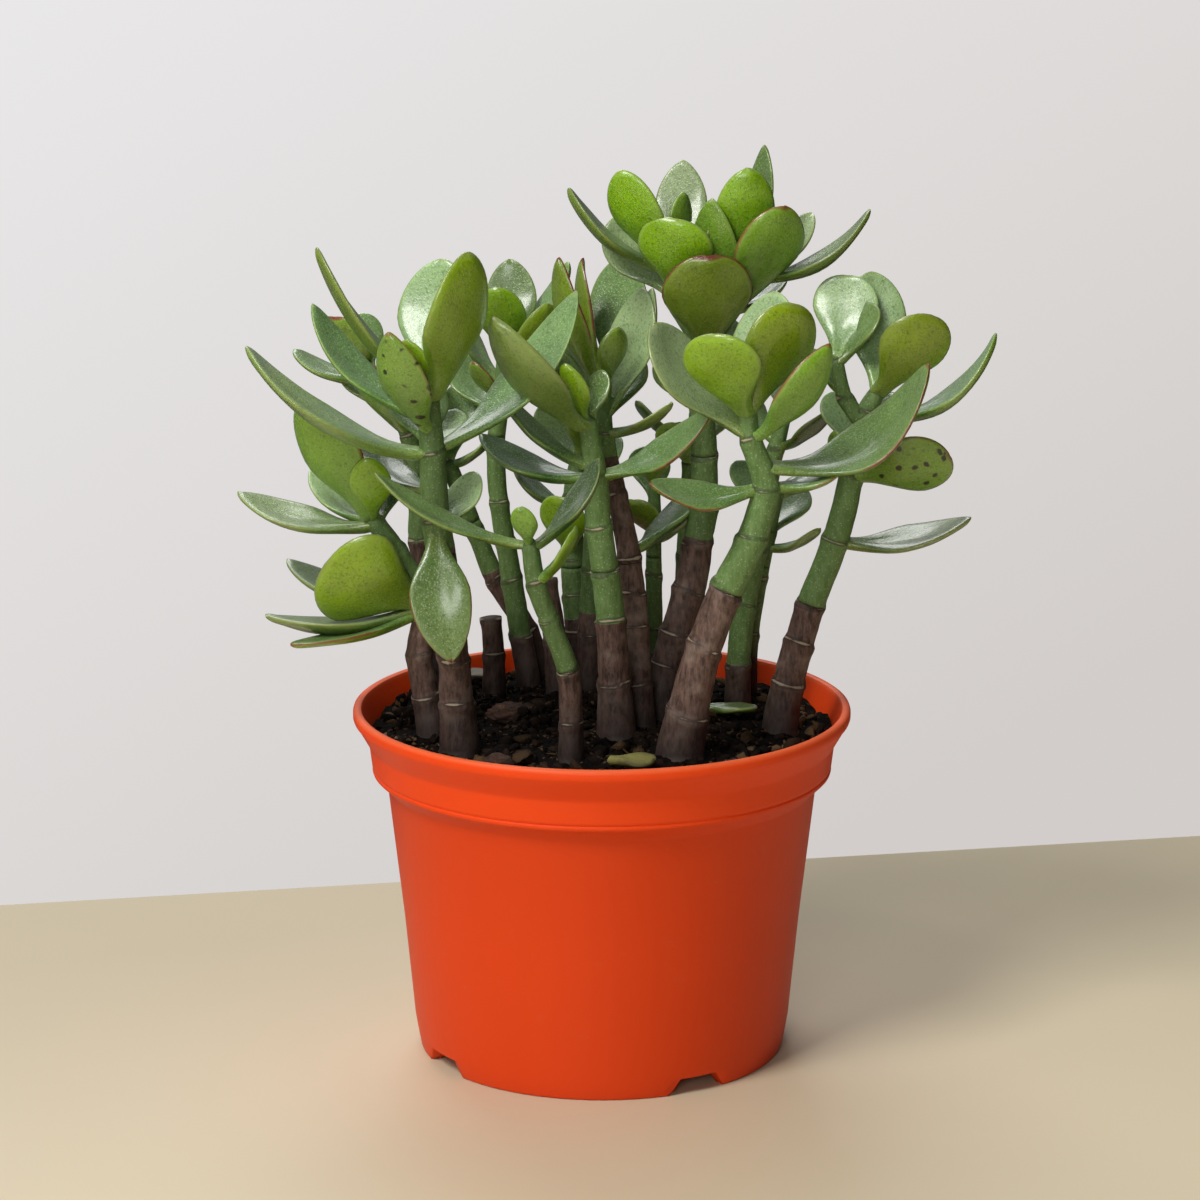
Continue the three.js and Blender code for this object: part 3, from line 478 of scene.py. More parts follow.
def stemSkin():
    # young stem with a waxy green skin, which cracks into brown cork lower down;
    # pale leaf scars ring each joint
    material, tree, surface = newMaterial("jadeStem", {
        "Roughness": 0.62, "IOR": 1.45, "Specular IOR Level": 0.4, "Subsurface Weight": 0.08,
        "Subsurface Radius": (0.6, 1.0, 0.3), "Subsurface Scale": 0.0015})
    place = addNode(tree, "ShaderNodeTexCoord").outputs["Object"]
    form = addNode(tree, "ShaderNodeAttribute", {"attribute_name": "stemForm"})
    parts = addNode(tree, "ShaderNodeSeparateXYZ", links={"Vector": form.outputs["Vector"]})
    corky, scarred, seed = parts.outputs["X"], parts.outputs["Y"], parts.outputs["Z"]
    tall = addNode(tree, "ShaderNodeMapping", {"Scale": (1, 1, 0.3)}, {"Vector": place})
    fibre = addNode(tree, "ShaderNodeTexNoise", {"Scale": 1 / (1.5 * mm), "Detail": 6, "Roughness": 0.7},
                    {"Vector": tall.outputs["Vector"]})
    patch = addNode(tree, "ShaderNodeTexNoise", {"Scale": 1 / (8 * mm), "Detail": 5}, {"Vector": place})
    fleck = addNode(tree, "ShaderNodeTexVoronoi", {"Scale": 1 / (1.1 * mm)}, {"Vector": place})
    flake = addNode(tree, "ShaderNodeMapRange", {"From Min": 0.36, "From Max": 0.62},
                    {"Value": fibre.outputs["Fac"]})
    bark = addNode(tree, "ShaderNodeMix", {"data_type": "RGBA", 6: linearColour(stemLook["barkDark"]),
                                           7: linearColour(stemLook["bark"])}, {0: flake.outputs["Result"]})
    worn = addNode(tree, "ShaderNodeMapRange", {"From Min": 0.5, "From Max": 0.75, "To Max": 0.5},
                   {"Value": patch.outputs["Fac"]})
    bark = addNode(tree, "ShaderNodeMix", {"data_type": "RGBA", 7: linearColour(stemLook["barkPale"])},
                   {0: worn.outputs["Result"], 6: bark.outputs[2]})
    skin = addNode(tree, "ShaderNodeMix", {"data_type": "RGBA", 6: linearColour(stemLook["greenDark"]),
                                           7: linearColour(stemLook["green"])}, {0: flake.outputs["Result"]})
    pores = addNode(tree, "ShaderNodeMapRange", {"From Min": 0.3, "From Max": 0.1, "To Max": 0.5},
                    {"Value": fleck.outputs["Distance"]})
    skin = addNode(tree, "ShaderNodeMix", {"data_type": "RGBA", 7: linearColour(stemLook["greenPale"])},
                   {0: pores.outputs["Result"], 6: skin.outputs[2]})
    ragged = addNode(tree, "ShaderNodeMath", {"operation": "MULTIPLY_ADD", 1: 0.5},
                     {0: patch.outputs["Fac"], 2: corky})
    edge = addNode(tree, "ShaderNodeMapRange", {"From Min": 0.7, "From Max": 0.82},
                   {"Value": ragged.outputs["Value"]})
    both = addNode(tree, "ShaderNodeMix", {"data_type": "RGBA"},
                   {0: edge.outputs["Result"], 6: skin.outputs[2], 7: bark.outputs[2]})
    # the scar is a thin pale line, broken here and there, with a dark crack beside it
    broken = addNode(tree, "ShaderNodeMath", {"operation": "MULTIPLY_ADD", 1: 1.6, 2: -0.8},
                     {0: patch.outputs["Fac"]})
    offset = addNode(tree, "ShaderNodeMath", {"operation": "ADD"}, {0: scarred, 1: broken.outputs["Value"]})
    crack = addNode(tree, "ShaderNodeMapRange", {"From Min": 1.0, "From Max": 0.55, "To Max": 0.55},
                    {"Value": offset.outputs["Value"]})
    ring = addNode(tree, "ShaderNodeMapRange", {"From Min": 0.42, "From Max": 0.16, "To Max": 0.9},
                   {"Value": offset.outputs["Value"]})
    crackTone = addNode(tree, "ShaderNodeMix", {"data_type": "RGBA", 7: linearColour(stemLook["crack"])},
                        {0: crack.outputs["Result"], 6: both.outputs[2]})
    scarTone = addNode(tree, "ShaderNodeMix", {"data_type": "RGBA", 7: linearColour(stemLook["scar"])},
                       {0: ring.outputs["Result"], 6: crackTone.outputs[2]})
    age = addNode(tree, "ShaderNodeMapRange", {"To Min": 0.75, "To Max": 1.15}, {"Value": seed})
    aged = addNode(tree, "ShaderNodeHueSaturation", {},
                   {"Value": age.outputs["Result"], "Color": scarTone.outputs[2]})
    # painted shade: the stems are painted nearly black towards their foot, in uneven patches, where they
    # stand in shade near the soil
    high = addNode(tree, "ShaderNodeSeparateXYZ", links={"Vector": place}).outputs["Z"]
    uneven = addNode(tree, "ShaderNodeMath", {"operation": "MULTIPLY_ADD", 1: -16 * mm},
                     {0: patch.outputs["Fac"], 2: high})
    footShadeShare = addNode(tree, "ShaderNodeMapRange",
                  {"From Min": (soilLevel + 16) * mm, "From Max": (soilLevel - 6) * mm,
                   "To Max": 0.85}, {"Value": uneven.outputs["Value"]})
    footShaded = addNode(tree, "ShaderNodeMix", {"data_type": "RGBA", 7: linearColour(stemLook["stain"])},
                      {0: footShadeShare.outputs["Result"], 6: aged.outputs["Color"]})
    tree.links.new(footShaded.outputs[2], surface.inputs["Base Color"])
    height = addNode(tree, "ShaderNodeMath", {"operation": "MULTIPLY_ADD"},
                     {0: fibre.outputs["Fac"], 1: edge.outputs["Result"], 2: ring.outputs["Result"]})
    bump = addNode(tree, "ShaderNodeBump", {"Strength": 0.6, "Distance": 0.5 * mm},
                   {"Height": height.outputs["Value"]})
    tree.links.new(bump.outputs["Normal"], surface.inputs["Normal"])
    return material


def alongRun(run, height):
    # the stem's centre and radius where it reaches a height, on a smooth curve through the plan's points
    i = 0
    while i < len(run) - 2 and height > run[i + 1][2]:
        i += 1
    low, high = run[i], run[i + 1]
    share = min(1.0, max(0.0, (height - low[2]) / (high[2] - low[2])))
    before = run[i - 1] if i > 0 else [2 * a - b for a, b in zip(low, high)]
    after = run[i + 2] if i + 2 < len(run) else [2 * b - a for a, b in zip(low, high)]
    point = []
    for a, b, c, d in zip(before, low, high, after):
        point.append(0.5 * (2 * b + (c - a) * share + (2 * a - 5 * b + 4 * c - d) * share ** 2
                            + (3 * b - a - 3 * c + d) * share ** 3))
    radius = low[3] + (high[3] - low[3]) * share
    return Vector((point[0] * grown, point[1] * grown, soilLevel + height * grown)), radius * grown


def growStem(bm, run, fromHeight, toHeight, brown, seed, tip):
    # a ring of edges is extruded up the stem, swelling at each joint
    form = bm.verts.layers.float_vector["stemForm"]
    steps = max(4, int((toHeight - fromHeight) / stemLook["ringStep"]))
    joints = [p[2] for p in run[1:]]
    joints += [(a + b) / 2 for a, b in zip([0] + joints, joints) if b - a > 23]
    loop = bmesh.ops.create_circle(bm, cap_ends=False, segments=stemLook["sides"], radius=1)["verts"]
    edges = [edge for edge in bm.edges if edge.verts[0] in loop and edge.verts[1] in loop]
    base = [vert.co.copy() for vert in loop]
    bottom = list(edges)
    for step in range(steps + 1):
        height = fromHeight + (toHeight - fromHeight) * step / steps
        centre, radius = alongRun(run, height)
        ahead, _ = alongRun(run, min(height + 1, run[-1][2]))
        behind, _ = alongRun(run, height - 1)
        way = (ahead - behind).normalized()
        turn = Vector((0, 0, 1)).rotation_difference(way)
        if step > 0:
            grownEdges = bmesh.ops.extrude_edge_only(bm, edges=edges)["geom"]
            loop = [item for item in grownEdges if isinstance(item, bmesh.types.BMVert)]
            edges = [item for item in grownEdges if isinstance(item, bmesh.types.BMEdge)
                     and item.verts[0] in loop and item.verts[1] in loop]
            order = {}
            for vert in loop:
                for edge in vert.link_edges:
                    other = edge.other_vert(vert)
                    if other.index >= 0 and other in places:
                        order[vert] = places[other]
        else:
            order = {vert: i for i, vert in enumerate(loop)}
        close = 0.86 if step == steps - 1 else 0.5 if step == steps else 1
        for vert in loop:
            around = base[order[vert]]
            # joints lie a little aslant, each its own way
            past = [height - joint + stemLook["tilt"] * radius * 0.25
                    * math.sin(math.atan2(around.y, around.x) + joint * 1.7 + seed * 6) for joint in joints]
            nearest = min(past, key=abs)
            swell = 1 + stemLook["joint"] * math.exp(-((nearest + 0.7) / 1.7) ** 2)
            swell -= stemLook["groove"] * math.exp(-((nearest - 1.2) / 0.8) ** 2)
            spot = Vector((around.x * 1.5 + seed * 31, around.y * 1.5, height * 0.12))
            ripple = 1 + 0.06 * noise.noise(spot)
            ripple += 0.02 * noise.noise(Vector((around.x * 4, around.y * 4 + seed * 11, height * 0.5)))
            vert.co = centre + turn @ (around * radius * swell * ripple * (close if tip else 1))
            corky = 1 - smoothStep(brown - 1.5, brown + 1.5, height)
            vert[form] = (corky, abs(nearest), seed)
        places = dict(order)
    bmesh.ops.edgenet_fill(bm, edges=edges)
    bmesh.ops.edgenet_fill(bm, edges=bottom)


# leaves: fleshy spoon-shaped blades with a short stalk
leafLook = {
    "around": 22, "along": 24, "thick": 4.6, "fullWidth": 24, "stalk": 0.26, "broadAt": 0.66, "cup": 0.16,
    "upper": "#66893f", "upperBloomSheen": "#a9c18b", "under": "#738f22", "underBacklit": "#8bad0a",
    "dark": "#38552c", "red": "#7d3b28", "spot": "#2a2415", "speckle": "#b4c49c", "stalkTone": "#86a04e",
    "edge": "#9db764", "foot": "#456a28", "stipple": "#37560f",
}
toneCodes = {  # pale bloom with painted sheen, painted backlight, painted shade, red edge, spotted
    "g": (0.3, 0.3, 0.12, 0.15, 0.15), "p": (0.85, 0.1, 0.0, 0.2, 0.15), "y": (0.1, 1.0, 0.0, 0.2, 0.05),
    "d": (0.05, 0.1, 0.9, 0.1, 0.0), "r": (0.2, 0.55, 0.1, 1.0, 0.15), "s": (0.45, 0.25, 0.1, 0.7, 1.0),
}


def waxyLeaf():
    # succulent leaf: watery flesh that lets light through, under a thin waxy skin with fine pale pores
    material, tree, surface = newMaterial("jadeLeaf", {
        "Roughness": 0.31, "IOR": 1.46, "Subsurface Weight": 0.14, "Subsurface Radius": (0.55, 1.0, 0.12),
        "Subsurface Scale": 0.003, "Coat Weight": 0.5, "Coat Roughness": 0.17})
    place = addNode(tree, "ShaderNodeTexCoord").outputs["Object"]
    form = addNode(tree, "ShaderNodeAttribute", {"attribute_name": "leafForm"})
    parts = addNode(tree, "ShaderNodeSeparateXYZ", links={"Vector": form.outputs["Vector"]})
    along, margin, upper = parts.outputs["X"], parts.outputs["Y"], parts.outputs["Z"]
    toneA = addNode(tree, "ShaderNodeAttribute", {"attribute_name": "leafTone"})
    tones = addNode(tree, "ShaderNodeSeparateXYZ", links={"Vector": toneA.outputs["Vector"]})
    pale, bright, dark = tones.outputs["X"], tones.outputs["Y"], tones.outputs["Z"]
    toneB = addNode(tree, "ShaderNodeAttribute", {"attribute_name": "leafMarks"})
    marks = addNode(tree, "ShaderNodeSeparateXYZ", links={"Vector": toneB.outputs["Vector"]})
    reddish, spotty, seed = marks.outputs["X"], marks.outputs["Y"], marks.outputs["Z"]

    # painted light: undersides of leaves coded bright are mixed towards a vivid yellow-green, as if lit
    # through from behind
    underTone = addNode(tree, "ShaderNodeMix", {"data_type": "RGBA", 6: linearColour(leafLook["under"]),
                                                7: linearColour(leafLook["underBacklit"])}, {0: bright})
    # partly the pale waxy bloom of the skin and partly painted sheen: upper faces of leaves coded pale are
    # mixed towards a silvery green
    upperTone = addNode(tree, "ShaderNodeMix", {"data_type": "RGBA", 6: linearColour(leafLook["upper"]),
                                                7: linearColour(leafLook["upperBloomSheen"])}, {0: pale})
    # the same pale bloom and painted sheen, weaker, on the undersides
    paleUnder = addNode(tree, "ShaderNodeMath", {"operation": "MULTIPLY", 1: 0.3}, {0: pale})
    underTone = addNode(tree, "ShaderNodeMix", {"data_type": "RGBA"},
                        {0: paleUnder.outputs["Value"], 6: underTone.outputs[2], 7: upperTone.outputs[2]})
    faces = addNode(tree, "ShaderNodeMix", {"data_type": "RGBA"},
                    {0: upper, 6: underTone.outputs[2], 7: upperTone.outputs[2]})
    # painted shade: leaves coded dark are mixed towards a deep green
    shade = addNode(tree, "ShaderNodeMix", {"data_type": "RGBA", 7: linearColour(leafLook["dark"])},
                    {0: dark, 6: faces.outputs[2]})
    cloud = addNode(tree, "ShaderNodeTexNoise", {"Scale": 1 / (14 * mm), "Detail": 4}, {"Vector": place})
    mottle = addNode(tree, "ShaderNodeMapRange",
                     {"From Min": 0.3, "From Max": 0.7, "To Min": 0.84, "To Max": 1.14},
                     {"Value": cloud.outputs["Fac"]})
    mottled = addNode(tree, "ShaderNodeHueSaturation", {},
                      {"Value": mottle.outputs["Result"], "Color": shade.outputs[2]})
    # deeper and bluer towards the foot of the blade, then the pale stalk
    lower = addNode(tree, "ShaderNodeMapRange", {"From Min": 0.75, "From Max": 0.25, "To Max": 0.5},
                    {"Value": along})
    withFoot = addNode(tree, "ShaderNodeMix", {"data_type": "RGBA", 7: linearColour(leafLook["foot"])},
                       {0: lower.outputs["Result"], 6: mottled.outputs["Color"]})
    stalky = addNode(tree, "ShaderNodeMapRange", {"From Min": 0.28, "From Max": 0.04, "To Max": 0.8},
                     {"Value": along})
    withStalk = addNode(tree, "ShaderNodeMix", {"data_type": "RGBA", 7: linearColour(leafLook["stalkTone"])},
                        {0: stalky.outputs["Result"], 6: withFoot.outputs[2]})
    # fine dark stipple in the skin, drawn about 0.8 mm apart so that it shows
    grain = addNode(tree, "ShaderNodeTexNoise", {"Scale": 1 / (0.85 * mm), "Detail": 3, "Roughness": 0.6},
                    {"Vector": place})
    stipple = addNode(tree, "ShaderNodeMapRange", {"From Min": 0.5, "From Max": 0.72, "To Max": 0.65},
                      {"Value": grain.outputs["Fac"]})
    calm = addNode(tree, "ShaderNodeMapRange",
                   {"From Min": 0.35, "From Max": 1.0, "To Min": 1.0, "To Max": 0.2},
                   {"Value": margin})
    stippleShare = addNode(tree, "ShaderNodeMath", {"operation": "MULTIPLY"},
                           {0: stipple.outputs["Result"], 1: calm.outputs["Result"]})
    stippled = addNode(tree, "ShaderNodeMix", {"data_type": "RGBA", 7: linearColour(leafLook["stipple"])},
                       {0: stippleShare.outputs["Value"], 6: withStalk.outputs[2]})

    # pores: pale dots about a millimetre apart
    pores = addNode(tree, "ShaderNodeTexVoronoi", {"Scale": 1 / (0.8 * mm)}, {"Vector": place})
    dots = addNode(tree, "ShaderNodeMapRange", {"From Min": 0.45, "From Max": 0.1, "To Max": 0.5},
                   {"Value": pores.outputs["Distance"]})
    onUpper = addNode(tree, "ShaderNodeMapRange", {"To Min": 0.4, "To Max": 1.0}, {"Value": upper})
    dotShare = addNode(tree, "ShaderNodeMath", {"operation": "MULTIPLY"},
                       {0: dots.outputs["Result"], 1: onUpper.outputs["Result"]})
    calmDots = addNode(tree, "ShaderNodeMath", {"operation": "MULTIPLY"},
                       {0: dotShare.outputs["Value"], 1: calm.outputs["Result"]})
    speckled = addNode(tree, "ShaderNodeMix", {"data_type": "RGBA", 7: linearColour(leafLook["speckle"])},
                       {0: calmDots.outputs["Value"], 6: stippled.outputs[2]})

    # red-brown edge, strongest near the tip
    wobble = addNode(tree, "ShaderNodeTexNoise", {"Scale": 1 / (5 * mm), "Detail": 3}, {"Vector": place})
    ragged = addNode(tree, "ShaderNodeMath", {"operation": "MULTIPLY_ADD", 1: 0.16},
                     {0: wobble.outputs["Fac"], 2: margin})
    thin = addNode(tree, "ShaderNodeMapRange", {"From Min": 0.7, "From Max": 1.05, "To Max": 0.4},
                   {"Value": ragged.outputs["Value"]})
    lightEdge = addNode(tree, "ShaderNodeMix", {"data_type": "RGBA", 7: linearColour(leafLook["edge"])},
                        {0: thin.outputs["Result"], 6: speckled.outputs[2]})
    rim = addNode(tree, "ShaderNodeMapRange", {"From Min": 0.88, "From Max": 1.07},
                  {"Value": ragged.outputs["Value"]})
    rimShare = addNode(tree, "ShaderNodeMath", {"operation": "MULTIPLY"},
                       {0: rim.outputs["Result"], 1: reddish})
    edged = addNode(tree, "ShaderNodeMix", {"data_type": "RGBA", 7: linearColour(leafLook["red"])},
                    {0: rimShare.outputs["Value"], 6: lightEdge.outputs[2]})

    # corky spots a few millimetres apart on old leaves
    bent = addNode(tree, "ShaderNodeVectorMath", {"operation": "MULTIPLY_ADD", 1: (4 * mm, 4 * mm, 4 * mm)},
                   {0: wobble.outputs["Color"], 2: place})
    blots = addNode(tree, "ShaderNodeTexVoronoi", {"Scale": 1 / (4.5 * mm)},
                    {"Vector": bent.outputs["Vector"]})
    blotSize = addNode(tree, "ShaderNodeMapRange", {"From Min": 0.3, "From Max": 0.2},
                       {"Value": blots.outputs["Distance"]})
    blotPick = addNode(tree, "ShaderNodeSeparateXYZ", links={"Vector": blots.outputs["Color"]})
    blotKeep = addNode(tree, "ShaderNodeMath", {"operation": "GREATER_THAN", 1: 0.45},
                       {0: blotPick.outputs["X"]})
    blotOn = addNode(tree, "ShaderNodeMath", {"operation": "MULTIPLY"},
                     {0: blotSize.outputs["Result"], 1: blotKeep.outputs["Value"]})
    blotShare = addNode(tree, "ShaderNodeMath", {"operation": "MULTIPLY"},
                        {0: blotOn.outputs["Value"], 1: spotty})
    spotted = addNode(tree, "ShaderNodeMix", {"data_type": "RGBA", 7: linearColour(leafLook["spot"])},
                      {0: blotShare.outputs["Value"], 6: edged.outputs[2]})
    vary = addNode(tree, "ShaderNodeMapRange", {"To Min": 0.485, "To Max": 0.515}, {"Value": seed})
    depth = addNode(tree, "ShaderNodeMapRange", {"To Min": 0.74, "To Max": 1.12}, {"Value": seed})
    varied = addNode(tree, "ShaderNodeHueSaturation", {},
                     {"Hue": vary.outputs["Result"], "Value": depth.outputs["Result"],
                      "Color": spotted.outputs[2]})
    tree.links.new(varied.outputs["Color"], surface.inputs["Base Color"])

    ripple = addNode(tree, "ShaderNodeTexNoise", {"Scale": 1 / (3.5 * mm), "Detail": 2}, {"Vector": place})
    skinHeight = addNode(tree, "ShaderNodeMath", {"operation": "MULTIPLY_ADD", 1: 0.45},
                         {0: grain.outputs["Fac"], 2: ripple.outputs["Fac"]})
    height = addNode(tree, "ShaderNodeMath", {"operation": "MULTIPLY_ADD", 1: 0.5},
                     {0: dots.outputs["Result"], 2: skinHeight.outputs["Value"]})
    bump = addNode(tree, "ShaderNodeBump", {"Strength": 0.75, "Distance": 0.35 * mm},
                   {"Height": height.outputs["Value"]})
    tree.links.new(bump.outputs["Normal"], surface.inputs["Normal"])
    return material


def bladeWidth(t, slim):
    # slim leaves are broadest nearer the middle and come to a point, broad ones are round
    broad = leafLook["broadAt"] - 0.13 * slim
    if t > broad:
        return max(0.0, 1 - ((t - broad) / (1 - broad)) ** 2.1) ** (0.47 + 0.3 * slim)
    return leafLook["stalk"] + (1 - leafLook["stalk"]) * smoothStep(0.05, broad, t) ** 1.25


def growLeaf(bm, start, reach, width, turn, curl, tone, chance):
    # a ball is drawn out into a cupped blade that curls towards its upper face
    form, look, marks = (bm.verts.layers.float_vector[name] for name in ("leafForm", "leafTone", "leafMarks"))
    length = reach.length
    way = reach.normalized()
    flat = math.hypot(way.x, way.y)
    up = Vector((-way.x / flat * way.z, -way.y / flat * way.z, flat))
    up.rotate(Quaternion(way, math.radians(turn)))
    side = way.cross(up)
    thick = leafLook["thick"] * grown * (0.4 + 0.6 * width / leafLook["fullWidth"])
    half = width * grown / 2
    slim = 1 - smoothStep(0.4, 0.72, width / length)
    cup = leafLook["cup"] * (0.45 + 0.55 * slim)
    sway = chance.uniform(-0.035, 0.035) * length
    twist = math.radians(chance.uniform(-10, 10))
    seed = chance.random()
    drift = Vector((seed * 40, seed * 17, 0))
    pale, bright, dark, red, spots = toneCodes[tone]
    ball = bmesh.ops.create_uvsphere(bm, u_segments=leafLook["around"], v_segments=leafLook["along"],
                                     radius=1)["verts"]
    for vert in ball:
        t = min(1.0, max(0.0, (vert.co.z + 1) / 2))
        ringSize = math.hypot(vert.co.x, vert.co.y)
        across = vert.co.x / ringSize if ringSize > 1e-5 else 0
        high = vert.co.y / ringSize if ringSize > 1e-5 else 0
        across = math.copysign(abs(across) ** 0.9, across)
        wide = bladeWidth(t, slim) * half if ringSize > 1e-5 else 0
        deep = thick / 2 * (1 - 0.45 * t * t) * min(1.0, 2.4 * ringSize)
        deep *= 0.82 if high > 0 else 1.1
        crease = 0
        if high > 0:  # the dent of the midrib, which runs out towards the tip
            crease = -0.16 * thick * math.exp(-(across / 0.28) ** 2) * smoothStep(0.02, 0.2, t)
            crease *= 1 - smoothStep(0.5, 0.9, t)
        bow = -4 * curl * length * t * (1 - t) + cup * wide * across * across
        bow += 0.35 * noise.noise(Vector((across * 1.2, t * 3.0, 0)) + drift) * (1 + width / 24)
        lean = twist * smoothStep(0.1, 1.0, t)
        out = Vector((across * wide, bow + high * deep + crease))
        out.x, out.y = out.x * math.cos(lean) - (high * deep) * math.sin(lean), out.y + out.x * math.sin(lean)
        vert.co = start + way * (t * length) + side * (out.x + sway * math.sin(math.pi * t)) + up * out.y
        margin = max(abs(across) ** 3, smoothStep(0.9, 1.0, t)) * smoothStep(0.1, 0.5, t)
        vert[form] = (t, margin, smoothStep(-0.12, 0.12, high))
        vert[look] = (pale, bright, dark)
        vert[marks] = (red, spots, seed)


def addLayers(bm):
    for name in ("leafForm", "leafTone", "leafMarks", "stemForm"):
        bm.verts.layers.float_vector.new(name)


leafSkin = waxyLeaf()
barkSkin = stemSkin()


def camel(words):
    first, *others = words.split("_")
    return first + "".join(part.title() for part in others)


def makePlant():
    for number, (name, runs) in enumerate(stemPlan.items()):
        chance = random.Random(100 + number)
        start, tones, leaves = shootPlan.get(name, (runs[0][-1][2], "", []))
        footX, footY, _, footRadius = runs[0][0]
        depth = -stemLook["rooting"] / grown
        rooted = [[footX, footY, depth, footRadius]] + runs[0]
        seed = chance.random()
        bm = bmesh.new()
        addLayers(bm)
        growStem(bm, rooted, depth, start - stemLook["gap"], brownTo[name], seed, False)
        bmesh.ops.recalc_face_normals(bm, faces=bm.faces)
        finishPiece(camel("stem_" + name), bm, [barkSkin], "stem_" + name)
        if name not in shootPlan:
            continue
        bm = bmesh.new()
        addLayers(bm)
        allRuns = [rooted] + runs[1:]
        for i, run in enumerate(allRuns):
            growStem(bm, run, start if i == 0 else run[0][2], run[-1][2], brownTo[name], seed, True)
        bmesh.ops.recalc_face_normals(bm, faces=bm.faces)
        stemFaces = len(bm.faces)
        for face in bm.faces:
            face.material_index = 1
        for tone, row in zip(tones, leaves):
            height, right, back, rise, width, turn, curl = row[:7]
            foot, _ = alongRun(allRuns[row[7] if len(row) > 7 else 0], height)
            growLeaf(bm, foot, Vector((right, back, rise)) * grown, width, turn, curl, tone, chance)
        bm.faces.ensure_lookup_table()
        bmesh.ops.recalc_face_normals(bm, faces=bm.faces[stemFaces:])
        finishPiece(camel("shoot_" + name), bm, [leafSkin, barkSkin], "shoot_" + name)


makePlant()
print("plant ready")

# soil: dark peat with bark chips, roots and grit
soilLook = {
    "radialStep": 1.6, "steps": 150, "crumbs": 1500, "crumbReach": 74.5, "twigs": 70, "twigReach": 72,
    "peat": "#0a0807", "peatWarm": "#1a120e", "chip": "#2e211a", "chipDark": "#100c0a", "tan": "#5f4a33",
    "grit": "#7a6d5c",
}


def bedHeight(x, y):
    # the soil's gently crowned top before its lumps
    return soilLevel + soilCrown * (1 - (math.hypot(x, y) / soilRadius) ** 2)


def soilHeight(x, y):
    spot = Vector((x, y, 0))
    lumps = 2.2 * noise.noise(spot / 15) + 1.7 * noise.noise(spot / 6 + Vector((9, 2, 5)))
    lumps += 1.2 * noise.noise(spot / 2.6)
    return bedHeight(x, y) + lumps


def peat():
    # peat: dark, crumbly and dull, with warmer clods, tan flecks, and bark and grit mixed in
    material, tree, surface = newMaterial("pottingPeat",
                                          {"Roughness": 0.95, "IOR": 1.4, "Specular IOR Level": 0.08})
    place = addNode(tree, "ShaderNodeTexCoord").outputs["Object"]
    crumb = addNode(tree, "ShaderNodeAttribute", {"attribute_name": "crumbTone"})
    parts = addNode(tree, "ShaderNodeSeparateXYZ", links={"Vector": crumb.outputs["Vector"]})
    chip, tan, grit = parts.outputs["X"], parts.outputs["Y"], parts.outputs["Z"]
    clods = addNode(tree, "ShaderNodeTexNoise", {"Scale": 1 / (6 * mm), "Detail": 8, "Roughness": 0.7},
                    {"Vector": place})
    warm = addNode(tree, "ShaderNodeMapRange", {"From Min": 0.42, "From Max": 0.7},
                   {"Value": clods.outputs["Fac"]})
    ground = addNode(tree, "ShaderNodeMix", {"data_type": "RGBA", 6: linearColour(soilLook["peat"]),
                                             7: linearColour(soilLook["peatWarm"])},
                     {0: warm.outputs["Result"]})
    fine = addNode(tree, "ShaderNodeTexVoronoi", {"Scale": 1 / (1.1 * mm)}, {"Vector": place})
    fleck = addNode(tree, "ShaderNodeSeparateXYZ", links={"Vector": fine.outputs["Color"]})
    fleckOn = addNode(tree, "ShaderNodeMapRange", {"From Min": 0.93, "From Max": 0.97, "To Max": 0.6},
                      {"Value": fleck.outputs["X"]})
    flecked = addNode(tree, "ShaderNodeMix", {"data_type": "RGBA", 7: linearColour(soilLook["tan"])},
                      {0: fleckOn.outputs["Result"], 6: ground.outputs[2]})
    grain = addNode(tree, "ShaderNodeTexNoise", {"Scale": 1 / (1.6 * mm), "Detail": 5}, {"Vector": place})
    woodTone = addNode(tree, "ShaderNodeMix", {"data_type": "RGBA", 6: linearColour(soilLook["chipDark"]),
                                               7: linearColour(soilLook["chip"])}, {0: grain.outputs["Fac"]})
    withChip = addNode(tree, "ShaderNodeMix", {"data_type": "RGBA"},
                       {0: chip, 6: flecked.outputs[2], 7: woodTone.outputs[2]})
    withTan = addNode(tree, "ShaderNodeMix", {"data_type": "RGBA", 7: linearColour(soilLook["tan"])},
                      {0: tan, 6: withChip.outputs[2]})
    withGrit = addNode(tree, "ShaderNodeMix", {"data_type": "RGBA", 7: linearColour(soilLook["grit"])},
                       {0: grit, 6: withTan.outputs[2]})
    tree.links.new(withGrit.outputs[2], surface.inputs["Base Color"])
    bump = addNode(tree, "ShaderNodeBump", {"Strength": 1.0, "Distance": 0.9 * mm},
                   {"Height": grain.outputs["Fac"]})
    tree.links.new(bump.outputs["Normal"], surface.inputs["Normal"])
    return material


def scatterCrumb(bm, tone, x, y, size, flatness, chance, detail=1):
    # a lump of peat, bark or grit, pressed a little into the soil
    layer = bm.verts.layers.float_vector["crumbTone"]
    lump = bmesh.ops.create_icosphere(bm, subdivisions=detail, radius=1)["verts"]
    shape = Vector((size, size * chance.uniform(0.45, 0.9), size * flatness))
    turn = Quaternion((chance.uniform(-0.5, 0.5), chance.uniform(-0.5, 0.5), 1), chance.uniform(0, 6.28))
    turn = turn @ Quaternion((1, 0, 0), chance.uniform(-0.5, 0.5))
    rest = soilHeight(x, y) + size * flatness * 0.35
    for vert in lump:
        rough = 1 + 0.55 * noise.noise(vert.co * 1.9 + Vector((x, y, size)))
        spot = Vector((vert.co.x * shape.x, vert.co.y * shape.y, vert.co.z * shape.z)) * rough
        vert.co = Vector((x, y, rest)) + turn @ spot
        vert[layer] = tone


